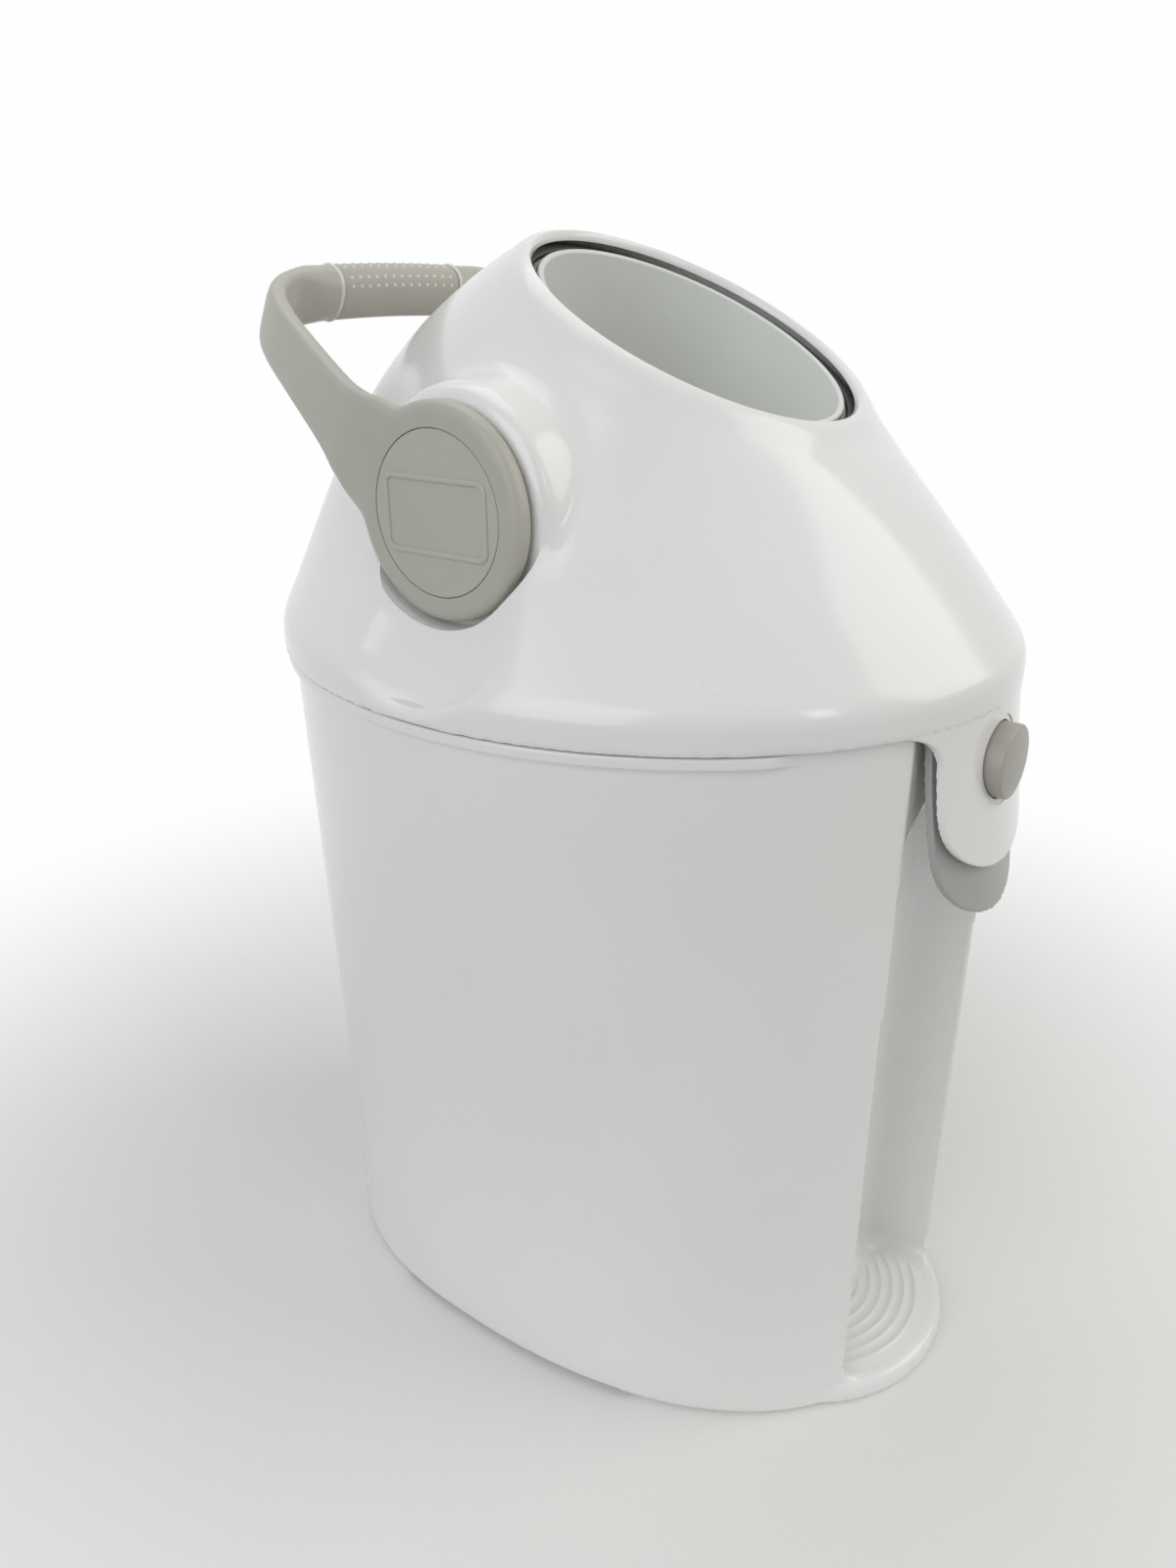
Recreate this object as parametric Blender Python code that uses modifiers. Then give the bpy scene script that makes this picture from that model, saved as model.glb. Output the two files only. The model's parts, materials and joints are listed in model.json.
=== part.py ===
"""Nappy bin with a tip-over drum.

A tapered pail stands on the floor and takes the bag. A bag ring lies on its rim and a domed lid
is hinged at the back. In the dome a round drum turns about a level axis with the U-shaped handle.
The drum holds a deep cup with a weighted piston. With the handle at the back the cup opens through
the mouth of the dome. Tipped over to the front, the cup faces down and the piston slides out.

Metres, +Z up, front towards -Y, and the bin is alike on both sides of X = 0.
"""
import math

import bmesh
import bpy
from mathutils import Euler, Matrix, Vector

# Whole bin
mouth_tilt = math.radians(28.25)   # the mouth leans to the front, and the handle rests at this angle
wall = 0.0030               # moulded wall of pail and dome
seat_gap = 0.0003           # between pieces that touch
run_gap = 0.0005            # between pieces that move past each other
overrun = 0.020             # cutters pass the faces they cut by this

# Lid outline and dome
seam_height = 0.3700        # lower edge of the lid above the floor
hub_rise = 0.0800           # level axis of drum and handle above that edge
hub_height = seam_height + hub_rise
hub_y = -0.0020             # the same axis, forward of the middle of the bin
lid_half_width = 0.1650
lid_front = 0.1870          # from the outline's centre to the front
lid_back = 0.1965           # and to the back
lid_centre = -0.0070        # the outline's centre, along Y from the hub axis
lid_power = 1.95            # 2 is an ellipse
skirt_height = 0.0140       # upright band up to the shoulder's corner
shoulder = 0.0060           # rounding of that corner
crown_radius = 0.0850       # where the dome meets the lip, round the mouth's axis
crown_height = 0.0768       # the same circle's distance from the hub
front_bulge = 0.0040        # how far the dome swells past a straight slope: in front,
side_hollow = 0.0025        # at the sides it falls short of it,
back_bulge = 0.0355         # and at the back
front_bulge_power = 3.4     # how fast the swelling fades towards the sides
back_bulge_power = 4.8
mouth_radius = 0.0793
lip_tube = 0.0042           # radius of the rounded lip
lip_height = 0.0775         # lip's centre circle from the hub, along the mouth's axis
crown_radius_share = 0.75   # how much of the wall the inner crown circle draws in
crown_height_share = 0.65   # and down

# Hub pockets in the dome
hub_face = 0.1370           # outer face of the hub discs from the middle
hub_radius = 0.0450
hub_thickness = 0.0095
pocket_gap = 0.0035         # round the hub disc
pocket_room = 0.0010        # behind it
boss_spread = 0.0040        # the boss widens by this towards the dome
boss_depth = 0.0500         # from the pocket floor in to where the dome has closed round it
axle_radius = 0.0100
bush_wall = 0.0045
bush_flange = 0.0030        # the bush's collar stands out by this
bush_flange_depth = 0.0020
boss_sleeve_wall = 0.0032
boss_sleeve_depth = 0.0140  # bearing sleeve behind the pocket floor

# Tongue, button and latch
tongue_setback = 0.0010     # the tongue lies this far behind the lid's face
tongue_thickness = 0.0024
tongue_half_width = 0.0445
tongue_flare = 0.0235       # it widens by this into the lid's edge
tongue_flare_height = 0.0170
tongue_length = 0.0735      # below the lid's edge
tongue_round = 0.0420       # height of its rounded end
tongue_kick = 0.0035        # its end bends forward
button_drop = 0.0242        # its axis below the lid's edge
button_height = seam_height - button_drop
button_radius = 0.0166
button_stand = 0.0085       # how far it stands out of the tongue
button_crown = 0.0012       # its face swells
button_edge = 0.0012
button_flange = 0.0020      # collar behind the tongue
button_flange_depth = 0.0014
button_wall = 0.0016
button_hole_gap = 0.0008
counterbore_width = 0.0024  # ring round the button
counterbore_depth = 0.0010
bracket_depth = 0.0100      # latch housing behind the tongue
bracket_half_width = 0.0215
bracket_half_height = 0.0205
bracket_wall = 0.0014
bracket_slot_radius = 0.0046
spring_wire = 0.0006
spring_radius = 0.0085
spring_turns = 2
hook_radius = 0.0040        # latch stem behind the button
hook_reach = 0.0060

# Bag ring
ring_inset = 0.0045         # its edge inside the lid's outline
ring_thickness = 0.0028
ring_collar_wall = 0.0020
ring_collar_depth = 0.0220
ring_collar_gap = 0.0024    # collar to the pail's wall
ring_notch_gap = 0.0030     # round the latch housing
tab_setback = 0.0065        # the tab lies this far behind the lid's face
tab_thickness = 0.0024
tab_half_width = 0.0455
tab_length = 0.0990
tab_round = 0.0420
tab_kick = 0.0040

# Pail
pail_top_inset = 0.0045     # pail's upper outline inside the lid's
pail_top_gap = 0.0005       # rim below the lid's edge
foot_half_width = 0.1310    # outline on the floor
foot_front = 0.1996
foot_back = 0.1510
foot_centre = 0.0120        # its centre, along Y from the hub axis
foot_front_power = 2.20
foot_back_power = 2.60
foot_edge = 0.0040          # rounding at the floor
ledge_out = 0.0034          # rolled rim stands out by this
ledge_height = 0.0052
ledge_front = 0.1500        # it ends this far in front of the hub axis
floor_rise = 0.0085         # inside of the pail's floor
underside_rise = 0.0040     # hollow under the floor, and the arches at the sides
underside_band = 0.0110     # width of the band that stands on the floor
arch_front = 0.0900         # the side arches reach this far forward of the hub axis
arch_back = 0.0720          # and back
arch_ramp = 0.0120
lintel_setback = 0.1745     # front face over the alcove, forward of the hub axis
alcove_half_width = 0.0530
alcove_back_half_width = 0.0475
alcove_corner = 0.0030      # rounding of the back corners
alcove_depth = 0.1410       # back wall at the floor, forward of the hub axis
alcove_lean = 0.0050        # it leans forward by this at the arch
arch_drop = 0.0430          # the arch begins this far below the lid's edge
alcove_spring = seam_height - arch_drop
crown_drop = 0.0140         # and its crown is this far below
alcove_crown = seam_height - crown_drop
step_radius = 0.0790        # foot step in front
step_centre = 0.1205        # its centre, forward of the hub axis
step_height = 0.0125
step_edge = 0.0050
groove_count = 6
groove_first = 0.0340
groove_pitch = 0.0062
groove_width = 0.0016
groove_depth = 0.0007

# Drum, cup and piston
drum_radius = 0.1045
drum_room = 0.0015          # least room between drum and dome
drum_wall = 0.0025
drum_half_length = 0.0980   # flat sides
drum_boss_radius = 0.0165
drum_socket_depth = 0.0170  # socket inside the flat sides
cup_radius = 0.0720         # inside
cup_wall = 0.0020
cup_rim = 0.0034            # rim stands out by this
cup_rim_height = 0.0026
cup_rim_top = 0.0735        # from the hub along the cup's axis
cup_floor = 0.0595          # inside of the floor, past the hub
post_radius = 0.0060        # post under the cup
piston_height = 0.0290
piston_wall = 0.0028
piston_gap = 0.0011
piston_groove_depth = 0.0026
piston_groove_height = 0.0060
piston_groove_place_share = 0.50
weight_thickness = 0.0100
weight_gap = 0.0060         # weight inside the piston's wall
seal_thickness = 0.0016
upper_seal_thickness = 0.0041   # reaches up to the lip
upper_seal_from = math.radians(46.4)
upper_seal_to = math.radians(50.2)
lower_seal_from = math.radians(42.2)
lower_seal_to = math.radians(49.8)

# Drum carrier inside the lid
carrier_thickness = 0.0025
carrier_rise = 0.0045       # its underside above the lid's edge
carrier_gap = 0.0010        # to the skirt
carrier_lip = 0.0090        # raised collar round the drum
carrier_lip_wall = 0.0022
carrier_lip_gap = 0.0012
post_x = 0.1080             # posts in the dome, on which the carrier is screwed
post_y_front = 0.0950       # forward of the hub axis
post_y_back = 0.1000
post_width = 0.0104         # thickness of each post
gasket_width = 0.0050
gasket_inset = 0.0105       # inside the lid's outline

# Handle
handle_length = 0.1800      # middle of the grip from the hub axis
strap_thickness = 0.0092
strap_half_height = 0.0140  # at the corners
grip_thickness = 0.0205
grip_half_height = 0.0158
sleeve_half_length = 0.0430
sleeve_wall = 0.0022
cap_radius = 0.0337
cap_thickness = 0.0018
cap_gap = 0.0004
hub_edge = 0.0022           # rounding of the hub's face
hub_web = 0.0020            # web between axle and cap
hub_hollow_depth = 0.0045   # hollow at the back of the hub
hub_rib_width = 0.0022
hub_ribs = 6

# strap's middle line: share of the hub disc's middle plane out from X = 0, and of the grip's reach
strap_line_shares = (
    (1.000, -0.035), (0.998, 0.240), (0.985, 0.333), (0.944, 0.433), (0.850, 0.655), (0.792, 0.778),
    (0.722, 0.872), (0.630, 0.932), (0.520, 0.966), (0.360, 0.988), (0.000, 1.000),
)
# half height of the strap at the same stations, as a share of its height at the corners
strap_height_shares = (2.20, 1.90, 1.45, 1.25, 1.06, 1.01, 1.00, 1.00, 1.02, 1.06, 1.12)
strap_power = 4.2           # corner of the strap's section, 2 is an ellipse
grip_power = 2.3

# Hinge at the back
hinge_back = 0.0120         # pin behind the lid's outline
hinge_drop = 0.0020         # pin below the lid's edge
hinge_pin_radius = 0.0020
knuckle_radius = 0.0052
ring_knuckle = 0.0170       # half length of the middle knuckle
lid_knuckle = 0.0110        # length of each lid knuckle
pail_knuckle = 0.0100
knuckle_gap = 0.0006
hinge_arm = 0.0080          # height of the arms

# Fineness of the facets
outline_segments = 36
round_segments = 32
drum_segments = 24
small_segments = 16
bore_segments = 20
drum_steps = 9
drum_hollow_steps = 7
dome_steps = 6
hollow_steps = 4
handle_section_points = 14
weld = 0.00001              # points closer than this are one
flat_angle = math.radians(0.4)
smooth_angle = math.radians(32)

parts = bpy.data.collections.new("nappy_bin")
cutters = bpy.data.collections.new("nappy_bin_cutters")
hub = Vector((0, hub_y, hub_height))


# Helpers
def start_empty():
    """Remove what the scene holds and add the two collections."""
    for obj in list(bpy.data.objects):
        bpy.data.objects.remove(obj, do_unlink=True)
    bpy.context.scene.collection.children.link(parts)
    bpy.context.scene.collection.children.link(cutters)


def material(name, colour, roughness, metallic=0):
    mat = bpy.data.materials.new(name)
    mat.use_nodes = True
    shader = mat.node_tree.nodes["Principled BSDF"]
    shader.inputs["Base Color"].default_value = (*colour, 1)
    shader.inputs["Roughness"].default_value = roughness
    shader.inputs["Metallic"].default_value = metallic
    mat.diffuse_color = (*colour, 1)
    return mat


def place(obj, mat=None, cutter=False, at=None, turn=None):
    """Put an object in its collection, with its place, turn and material."""
    (cutters if cutter else parts).objects.link(obj)
    if cutter:
        obj.hide_render = True
        obj.display_type = "WIRE"
    if mat:
        obj.data.materials.append(mat)
    if at is not None:
        obj.location = at
    if turn is not None:
        obj.rotation_euler = turn
    return obj


def from_bmesh(name, bm):
    mesh = bpy.data.meshes.new(name)
    bmesh.ops.recalc_face_normals(bm, faces=bm.faces)
    bm.to_mesh(mesh)
    bm.free()
    mesh.shade_smooth()
    mesh.set_sharp_from_angle(angle=smooth_angle)
    return bpy.data.objects.new(name, mesh)


def loft(name, rings):
    """Closed skin through rings with the same number of points, capped at both ends. Its sides
    are triangles, because four points of a tapered or twisted skin don't lie in one plane."""
    bm = bmesh.new()
    rows = [[bm.verts.new(p) for p in ring] for ring in rings]
    count = len(rings[0])
    sides = []
    for low, high in zip(rows, rows[1:]):
        for i in range(count):
            j = (i + 1) % count
            sides.append(bm.faces.new((low[i], low[j], high[j], high[i])))
    bm.faces.new(rows[0])
    bm.faces.new(rows[-1])
    bmesh.ops.triangulate(bm, faces=sides)
    return from_bmesh(name, bm)


def box(name, low, high):
    """Box between two corners."""
    bm = bmesh.new()
    bmesh.ops.create_cube(bm, size=1)
    low, high = Vector(low), Vector(high)
    for v in bm.verts:
        v.co = Vector(low[k] + (v.co[k] + 0.5) * (high[k] - low[k]) for k in range(3))
    return from_bmesh(name, bm)


def rod(name, radius, length, segments=small_segments, tip_radius=None):
    """Cylinder or cone from the origin up to length."""
    bm = bmesh.new()
    bmesh.ops.create_cone(bm, cap_ends=True, segments=segments, radius1=radius,
                          radius2=radius if tip_radius is None else tip_radius, depth=length)
    bmesh.ops.translate(bm, verts=bm.verts, vec=(0, 0, length / 2))
    return from_bmesh(name, bm)


def turned(name, profile, segments=round_segments):
    """Turn a profile of (radius, height) points about Z. One that starts and ends on the axis is
    left open there, and any other is closed to a ring."""
    on_axis = profile[0][0] == 0 and profile[-1][0] == 0
    area = sum(a[0] * b[1] - b[0] * a[1] for a, b in zip(profile, profile[1:] + profile[:1]))
    if area > 0:
        profile = profile[::-1]
    mesh = bpy.data.meshes.new(name)
    edges = [(i, i + 1) for i in range(len(profile) - 1)]
    if not on_axis:
        edges.append((len(profile) - 1, 0))
    mesh.from_pydata([(r, 0, h) for r, h in profile], edges, [])
    obj = bpy.data.objects.new(name, mesh)
    screw = obj.modifiers.new("Turn", "SCREW")
    screw.steps = segments
    screw.render_steps = segments
    screw.use_merge_vertices = True
    screw.merge_threshold = weld
    screw.use_smooth_shade = True
    return obj


def use(target, tool, operation):
    """Cut or join with another object."""
    mod = target.modifiers.new(tool.name, "BOOLEAN")
    mod.operation = operation
    mod.solver = "EXACT"
    mod.object = tool
    return target


def cut(target, tool):
    return use(target, tool, "DIFFERENCE")


def join(target, tool):
    return use(target, tool, "UNION")


def smooth_by_angle(obj):
    """Fix the shape as a plain mesh without split flat faces, with smooth shading up to a sharp
    angle."""
    graph = bpy.context.evaluated_depsgraph_get()
    mesh = bpy.data.meshes.new_from_object(obj.evaluated_get(graph))
    bm = bmesh.new()
    bm.from_mesh(mesh)
    bmesh.ops.remove_doubles(bm, verts=bm.verts, dist=weld)
    bmesh.ops.dissolve_limit(bm, angle_limit=flat_angle, verts=bm.verts, edges=bm.edges)
    bm.to_mesh(mesh)
    bm.free()
    obj.modifiers.clear()
    obj.data = mesh
    mesh.shade_smooth()
    mesh.set_sharp_from_angle(angle=smooth_angle)
    return obj


def arc(radius, start, end, steps, centre=(0, 0)):
    """Points of an arc, with angles measured from the second axis."""
    return [(centre[0] + radius * math.sin(start + (end - start) * i / steps),
             centre[1] + radius * math.cos(start + (end - start) * i / steps)) for i in range(steps + 1)]


def oval(half_width, front, back, centre, power_front, power_back, z, inset=0):
    """Outline round the bin at one height, drawn in by inset."""
    points = []
    for i in range(outline_segments):
        angle = 2 * math.pi * i / outline_segments
        c, s = math.cos(angle), math.sin(angle)
        power = power_back if s > 0 else power_front
        x = (half_width - inset) * math.copysign(abs(c) ** (2 / power), c)
        reach = (back if s > 0 else front) - inset
        y = centre + reach * math.copysign(abs(s) ** (2 / power), s)
        points.append(Vector((x, hub_y + y, z)))
    return points


def lid_oval(z, inset=0):
    return oval(lid_half_width, lid_front, lid_back, lid_centre, lid_power, lid_power, z, inset)


def lid_front_y(x, inset=0):
    """Y of the lid's front face at a given X."""
    share = min(1, abs(x) / (lid_half_width - inset))
    return hub_y + lid_centre - (lid_front - inset) * (1 - share ** lid_power) ** (1 / lid_power)


def mirrored_turn(side):
    """Turn that lays local Z along +X or -X."""
    return (0, side * math.pi / 2, 0)


# Materials
white = material("gloss_white_plastic", (0.86, 0.86, 0.85), 0.22)
inner_white = material("inner_white_plastic", (0.80, 0.81, 0.79), 0.38)
warm_grey = material("warm_grey_plastic", (0.58, 0.57, 0.52), 0.42)
cap_grey = material("cap_grey_plastic", (0.60, 0.59, 0.55), 0.46)
grip_grey = material("grip_grey_rubber", (0.52, 0.50, 0.45), 0.60)
button_grey = material("button_grey_plastic", (0.50, 0.48, 0.44), 0.42)
ring_grey = material("ring_grey_plastic", (0.47, 0.47, 0.46), 0.45)
seal_grey = material("seal_grey_rubber", (0.16, 0.16, 0.16), 0.65)
steel = material("steel", (0.62, 0.62, 0.62), 0.32, 1)


# Dome
def dome_rings(inset):
    """Rings from the lid's edge up to the circle below the lip. Each upright line runs up the
    skirt, rounds the shoulder and bends over to the tilted crown circle. Where a straight slope
    would come too near the drum, the dome swells round it."""
    axis = Vector((0, -math.sin(mouth_tilt), math.cos(mouth_tilt)))
    across = Vector((0, math.cos(mouth_tilt), math.sin(mouth_tilt)))
    corner_drop = inset * math.tan(math.radians(45) / 2)
    corners = lid_oval(seam_height + skirt_height - corner_drop, inset)
    crown_r = crown_radius - inset * crown_radius_share
    crown_h = crown_height - inset * crown_height_share
    lines = []
    for i, corner in enumerate(corners):
        angle = 2 * math.pi * i / outline_segments
        s = math.sin(angle)
        crown = hub + crown_h * axis + crown_r * (math.cos(angle) * Vector((1, 0, 0)) + s * across)
        if s < 0:
            swell = -side_hollow + (front_bulge + side_hollow) * abs(s) ** front_bulge_power
        else:
            swell = -side_hollow + (back_bulge + side_hollow) * abs(s) ** back_bulge_power
        chord = crown - corner
        out = Vector((corner.x, corner.y - hub_y, 0)).normalized()
        out = (out - out.dot(chord) / chord.length_squared * chord).normalized()
        bend = (corner + crown) / 2 + 2 * swell * out
        start = shoulder / chord.length

        def slope(t):
            return (1 - t) ** 2 * corner + 2 * t * (1 - t) * bend + t * t * crown

        low = corner - Vector((0, 0, shoulder))
        line = [Vector((corner.x, corner.y, seam_height - (overrun if inset else 0))), low]
        if not inset:
            line.append(low / 4 + corner / 2 + slope(start) / 4)
        steps = hollow_steps if inset else dome_steps
        clear = drum_radius + drum_room + (0 if inset else wall)
        for k in range(steps + 1):
            out = slope(start + (1 - start) * k / steps) - hub
            line.append(hub + out * max(1, clear / out.length))
        lines.append(line)
    return [[line[k] for line in lines] for k in range(len(lines[0]))]


def hub_tool(name, radius, start, end, spread=0, cutter_side=1, segments=drum_segments):
    """Cylinder or cone on the hub axis, from start to end out from the middle."""
    obj = rod(name, radius + spread, end - start, segments, radius)
    start_point = hub + Vector((cutter_side * start, 0, 0))
    return place(obj, cutter=True, at=start_point, turn=mirrored_turn(cutter_side))


def tongue_sheet(name, setback, thickness, half_width, flare, flare_height, length, round_height,
                 kick, top):
    """Curved flap below the lid's edge. It follows the lid's front, and ends in a half round that
    bends forward. Rows run down, and each row is as wide as the outline there."""
    rows = []
    flare_shares = (0, 0.12, 0.34, 1) if flare else (0, 1)
    heights = [top - seam_height]
    heights += [-flare_height * share for share in flare_shares]
    straight = length - round_height
    heights.append(-straight)
    turns = 5
    heights += [-straight - round_height * math.sin(math.pi / 2 * k / turns) for k in range(1, turns)]
    heights.append(-length)
    for h in heights:
        depth = -h
        width = half_width
        if flare and depth < flare_height:
            reach = 1 - max(0, depth) / flare_height
            width += flare * (1 - math.sqrt(max(0, 1 - reach ** 2)))
        if depth > straight:
            share = min(0.992, (depth - straight) / round_height)
            width = half_width * math.sqrt(1 - share ** 2)
        forward = kick * max(0, (depth - straight) / round_height) ** 2
        rows.append((seam_height + h, width, forward))
    columns = 10
    bm = bmesh.new()
    for face_setback in (setback, setback + thickness):
        for z, width, forward in rows:
            for k in range(columns + 1):
                x = width * (2 * k / columns - 1)
                bm.verts.new((x, lid_front_y(x, face_setback) - forward, z))
    bm.verts.ensure_lookup_table()
    size = (columns + 1) * len(rows)

    def at(face, row, column):
        return bm.verts[face * size + row * (columns + 1) + column]

    for r in range(len(rows) - 1):
        for k in range(columns):
            bm.faces.new((at(0, r, k), at(0, r, k + 1), at(0, r + 1, k + 1), at(0, r + 1, k)))
            bm.faces.new((at(1, r, k), at(1, r + 1, k), at(1, r + 1, k + 1), at(1, r, k + 1)))
        for k in (0, columns):
            bm.faces.new((at(0, r, k), at(0, r + 1, k), at(1, r + 1, k), at(1, r, k)))
    for r in (0, len(rows) - 1):
        for k in range(columns):
            bm.faces.new((at(0, r, k), at(0, r, k + 1), at(1, r, k + 1), at(1, r, k)))
    bmesh.ops.triangulate(bm, faces=bm.faces)
    return from_bmesh(name, bm)


def make_dome():
    dome = place(loft("lid_dome", dome_rings(0)), white)
    hollow = place(loft("dome_hollow", dome_rings(wall)), cutter=True)
    pocket_floor = hub_face - hub_thickness - pocket_room
    pocket_radius = hub_radius + pocket_gap
    for side in (-1, 1):
        join(dome, hub_tool("dome_boss", pocket_radius, pocket_floor - boss_depth, pocket_floor,
                            boss_spread, side))
        join(hollow, hub_tool("dome_boss_core", pocket_radius - wall, pocket_floor - boss_depth - overrun,
                              pocket_floor - wall, boss_spread * (1 + overrun / boss_depth), side))
        cut(hollow, hub_tool("dome_pocket_wall", pocket_radius + wall, pocket_floor - wall,
                             lid_half_width + overrun, 0, side))
        cut(hollow, hub_tool("dome_sleeve", axle_radius + bush_wall + boss_sleeve_wall,
                             pocket_floor - wall - boss_sleeve_depth, pocket_floor, 0, side, bore_segments))
        cut(dome, hub_tool("dome_pocket", pocket_radius, pocket_floor, lid_half_width + overrun, 0, side))
    for x in (-post_x, post_x):
        for y in (hub_y - post_y_front, hub_y + post_y_back):
            post = rod("dome_post", post_width / 2, hub_height - seam_height)
            top_of_carrier = seam_height + carrier_rise + carrier_thickness + seat_gap
            cut(hollow, place(post, cutter=True, at=(x, y, top_of_carrier)))
    cut(dome, hollow)
    # the mouth, whose edge is the rounded lip
    axis = Vector((0, -math.sin(mouth_tilt), math.cos(mouth_tilt)))
    mouth = rod("dome_mouth", mouth_radius + lip_tube / 2, 2 * overrun, round_segments)
    cut(dome, place(mouth, cutter=True, at=hub + axis * (crown_height - overrun), turn=(mouth_tilt, 0, 0)))
    lip = turned("dome_lip", arc(lip_tube, 0, 2 * math.pi, 8, (mouth_radius + lip_tube, lip_height))[:-1])
    join(dome, place(lip, cutter=True, at=hub, turn=(mouth_tilt, 0, 0)))
    tongue = tongue_sheet("dome_tongue", tongue_setback, tongue_thickness, tongue_half_width,
                          tongue_flare, tongue_flare_height, tongue_length, tongue_round, tongue_kick,
                          seam_height + wall)
    join(dome, place(tongue, cutter=True))
    for side in (-1, 1):
        bore = axle_radius + bush_wall + seat_gap
        cut(dome, hub_tool("dome_bore", bore, pocket_floor - wall - boss_sleeve_depth - overrun,
                           pocket_floor + overrun, 0, side, bore_segments))
    # button hole with its sunk ring
    front = lid_front_y(0, tongue_setback)
    hole = rod("button_hole", button_radius + button_hole_gap, overrun, bore_segments)
    cut(dome, place(hole, cutter=True, at=(0, front + overrun / 2, button_height), turn=(math.pi / 2, 0, 0)))
    sunk = rod("button_counterbore", button_radius + counterbore_width, overrun, bore_segments)
    cut(dome, place(sunk, cutter=True, at=(0, front + counterbore_depth, button_height),
                    turn=(math.pi / 2, 0, 0)))
    # hinge knuckles and the notch that the ring's arm passes
    pin = hinge_point()
    for side in (-1, 1):
        inner = ring_knuckle + knuckle_gap
        ends = sorted((side * inner, side * (inner + lid_knuckle)))
        low = seam_height + knuckle_gap
        join(dome, eyelet("dome_hinge_arm", ends, pin.y - hinge_back - wall * 1.2, low, low + hinge_arm))
        cut(dome, pin_hole("dome_pin_hole", ends))
    half = ring_knuckle + knuckle_gap
    notch = box("dome_notch", (-half, pin.y - hinge_back - wall - overrun, seam_height - overrun),
                (half, pin.y, seam_height + ring_thickness + run_gap + pail_top_gap))
    cut(dome, place(notch, cutter=True))
    return smooth_by_angle(dome)


# Hinge
def hinge_point():
    return Vector((0, hub_y + lid_centre + lid_back + hinge_back, seam_height - hinge_drop))


def eyelet(name, ends, root, low, high):
    """Hinge arm with its round knuckle: an outline across X that runs from its root at Y round
    the pin and back."""
    pin = hinge_point()

    def front_angle(z):
        return math.pi - math.asin(max(-1, min(1, (z - pin.z) / knuckle_radius)))

    start, end = front_angle(high), front_angle(low) - 2 * math.pi
    steps = small_segments
    outline = [(root, high)]
    for k in range(steps + 1):
        angle = start + (end - start) * k / steps
        outline.append((pin.y + knuckle_radius * math.cos(angle), pin.z + knuckle_radius * math.sin(angle)))
    outline.append((root, low))
    return place(loft(name, [[Vector((x, y, z)) for y, z in outline] for x in ends]), cutter=True)


def pin_hole(name, ends):
    obj = rod(name, hinge_pin_radius + seat_gap / 2, ends[1] - ends[0] + overrun)
    pin = hinge_point()
    return place(obj, cutter=True, at=(ends[0] - overrun / 2, pin.y, pin.z), turn=mirrored_turn(1))


def hinge_half_length():
    return ring_knuckle + 2 * knuckle_gap + lid_knuckle + pail_knuckle


def make_hinge_pin():
    half = hinge_half_length() - seat_gap
    obj = rod("hinge_pin", hinge_pin_radius, 2 * half)
    pin = hinge_point()
    return place(obj, steel, at=(-half, pin.y, pin.z), turn=mirrored_turn(1))


# Pail
def pail_oval(z, inset=0):
    """Pail's outline at a height, between the outlines on the floor and under the lid."""
    top = seam_height - pail_top_gap
    share = min(1, max(0, z / top))
    low = oval(foot_half_width, foot_front, foot_back, foot_centre, foot_front_power,
               foot_back_power, z, inset)
    high = lid_oval(z, pail_top_inset + inset)
    return [a.lerp(b, share) for a, b in zip(low, high)]


def alcove(name, grow):
    """Arched recess over the foot step, larger by grow when it shapes the inside of the wall."""
    arch_steps = 8
    rings = []
    back = alcove_depth - grow
    depths = (
        (alcove_depth + 4 * overrun, alcove_half_width + grow),
        (lintel_setback, alcove_half_width + grow),
        (back + alcove_corner, alcove_back_half_width + grow),
        (back + alcove_corner * 0.3, alcove_back_half_width + grow - alcove_corner * 0.3),
        (back, alcove_back_half_width + grow - alcove_corner),
    )
    for forward, half in depths:
        draw = alcove_half_width + grow - half
        outline = [(-half, -overrun), (-half, 0)]
        for k in range(arch_steps + 1):
            angle = math.pi * k / arch_steps
            crown = alcove_crown + grow - alcove_spring - draw / 2
            outline.append((-half * math.cos(angle), alcove_spring + crown * math.sin(angle)))
        outline += [(half, 0), (half, -overrun)]
        lean = alcove_lean / alcove_spring if forward < lintel_setback else 0
        rings.append([Vector((x, hub_y - forward - lean * max(0, z), z)) for x, z in outline])
    return loft(name, rings)


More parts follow.
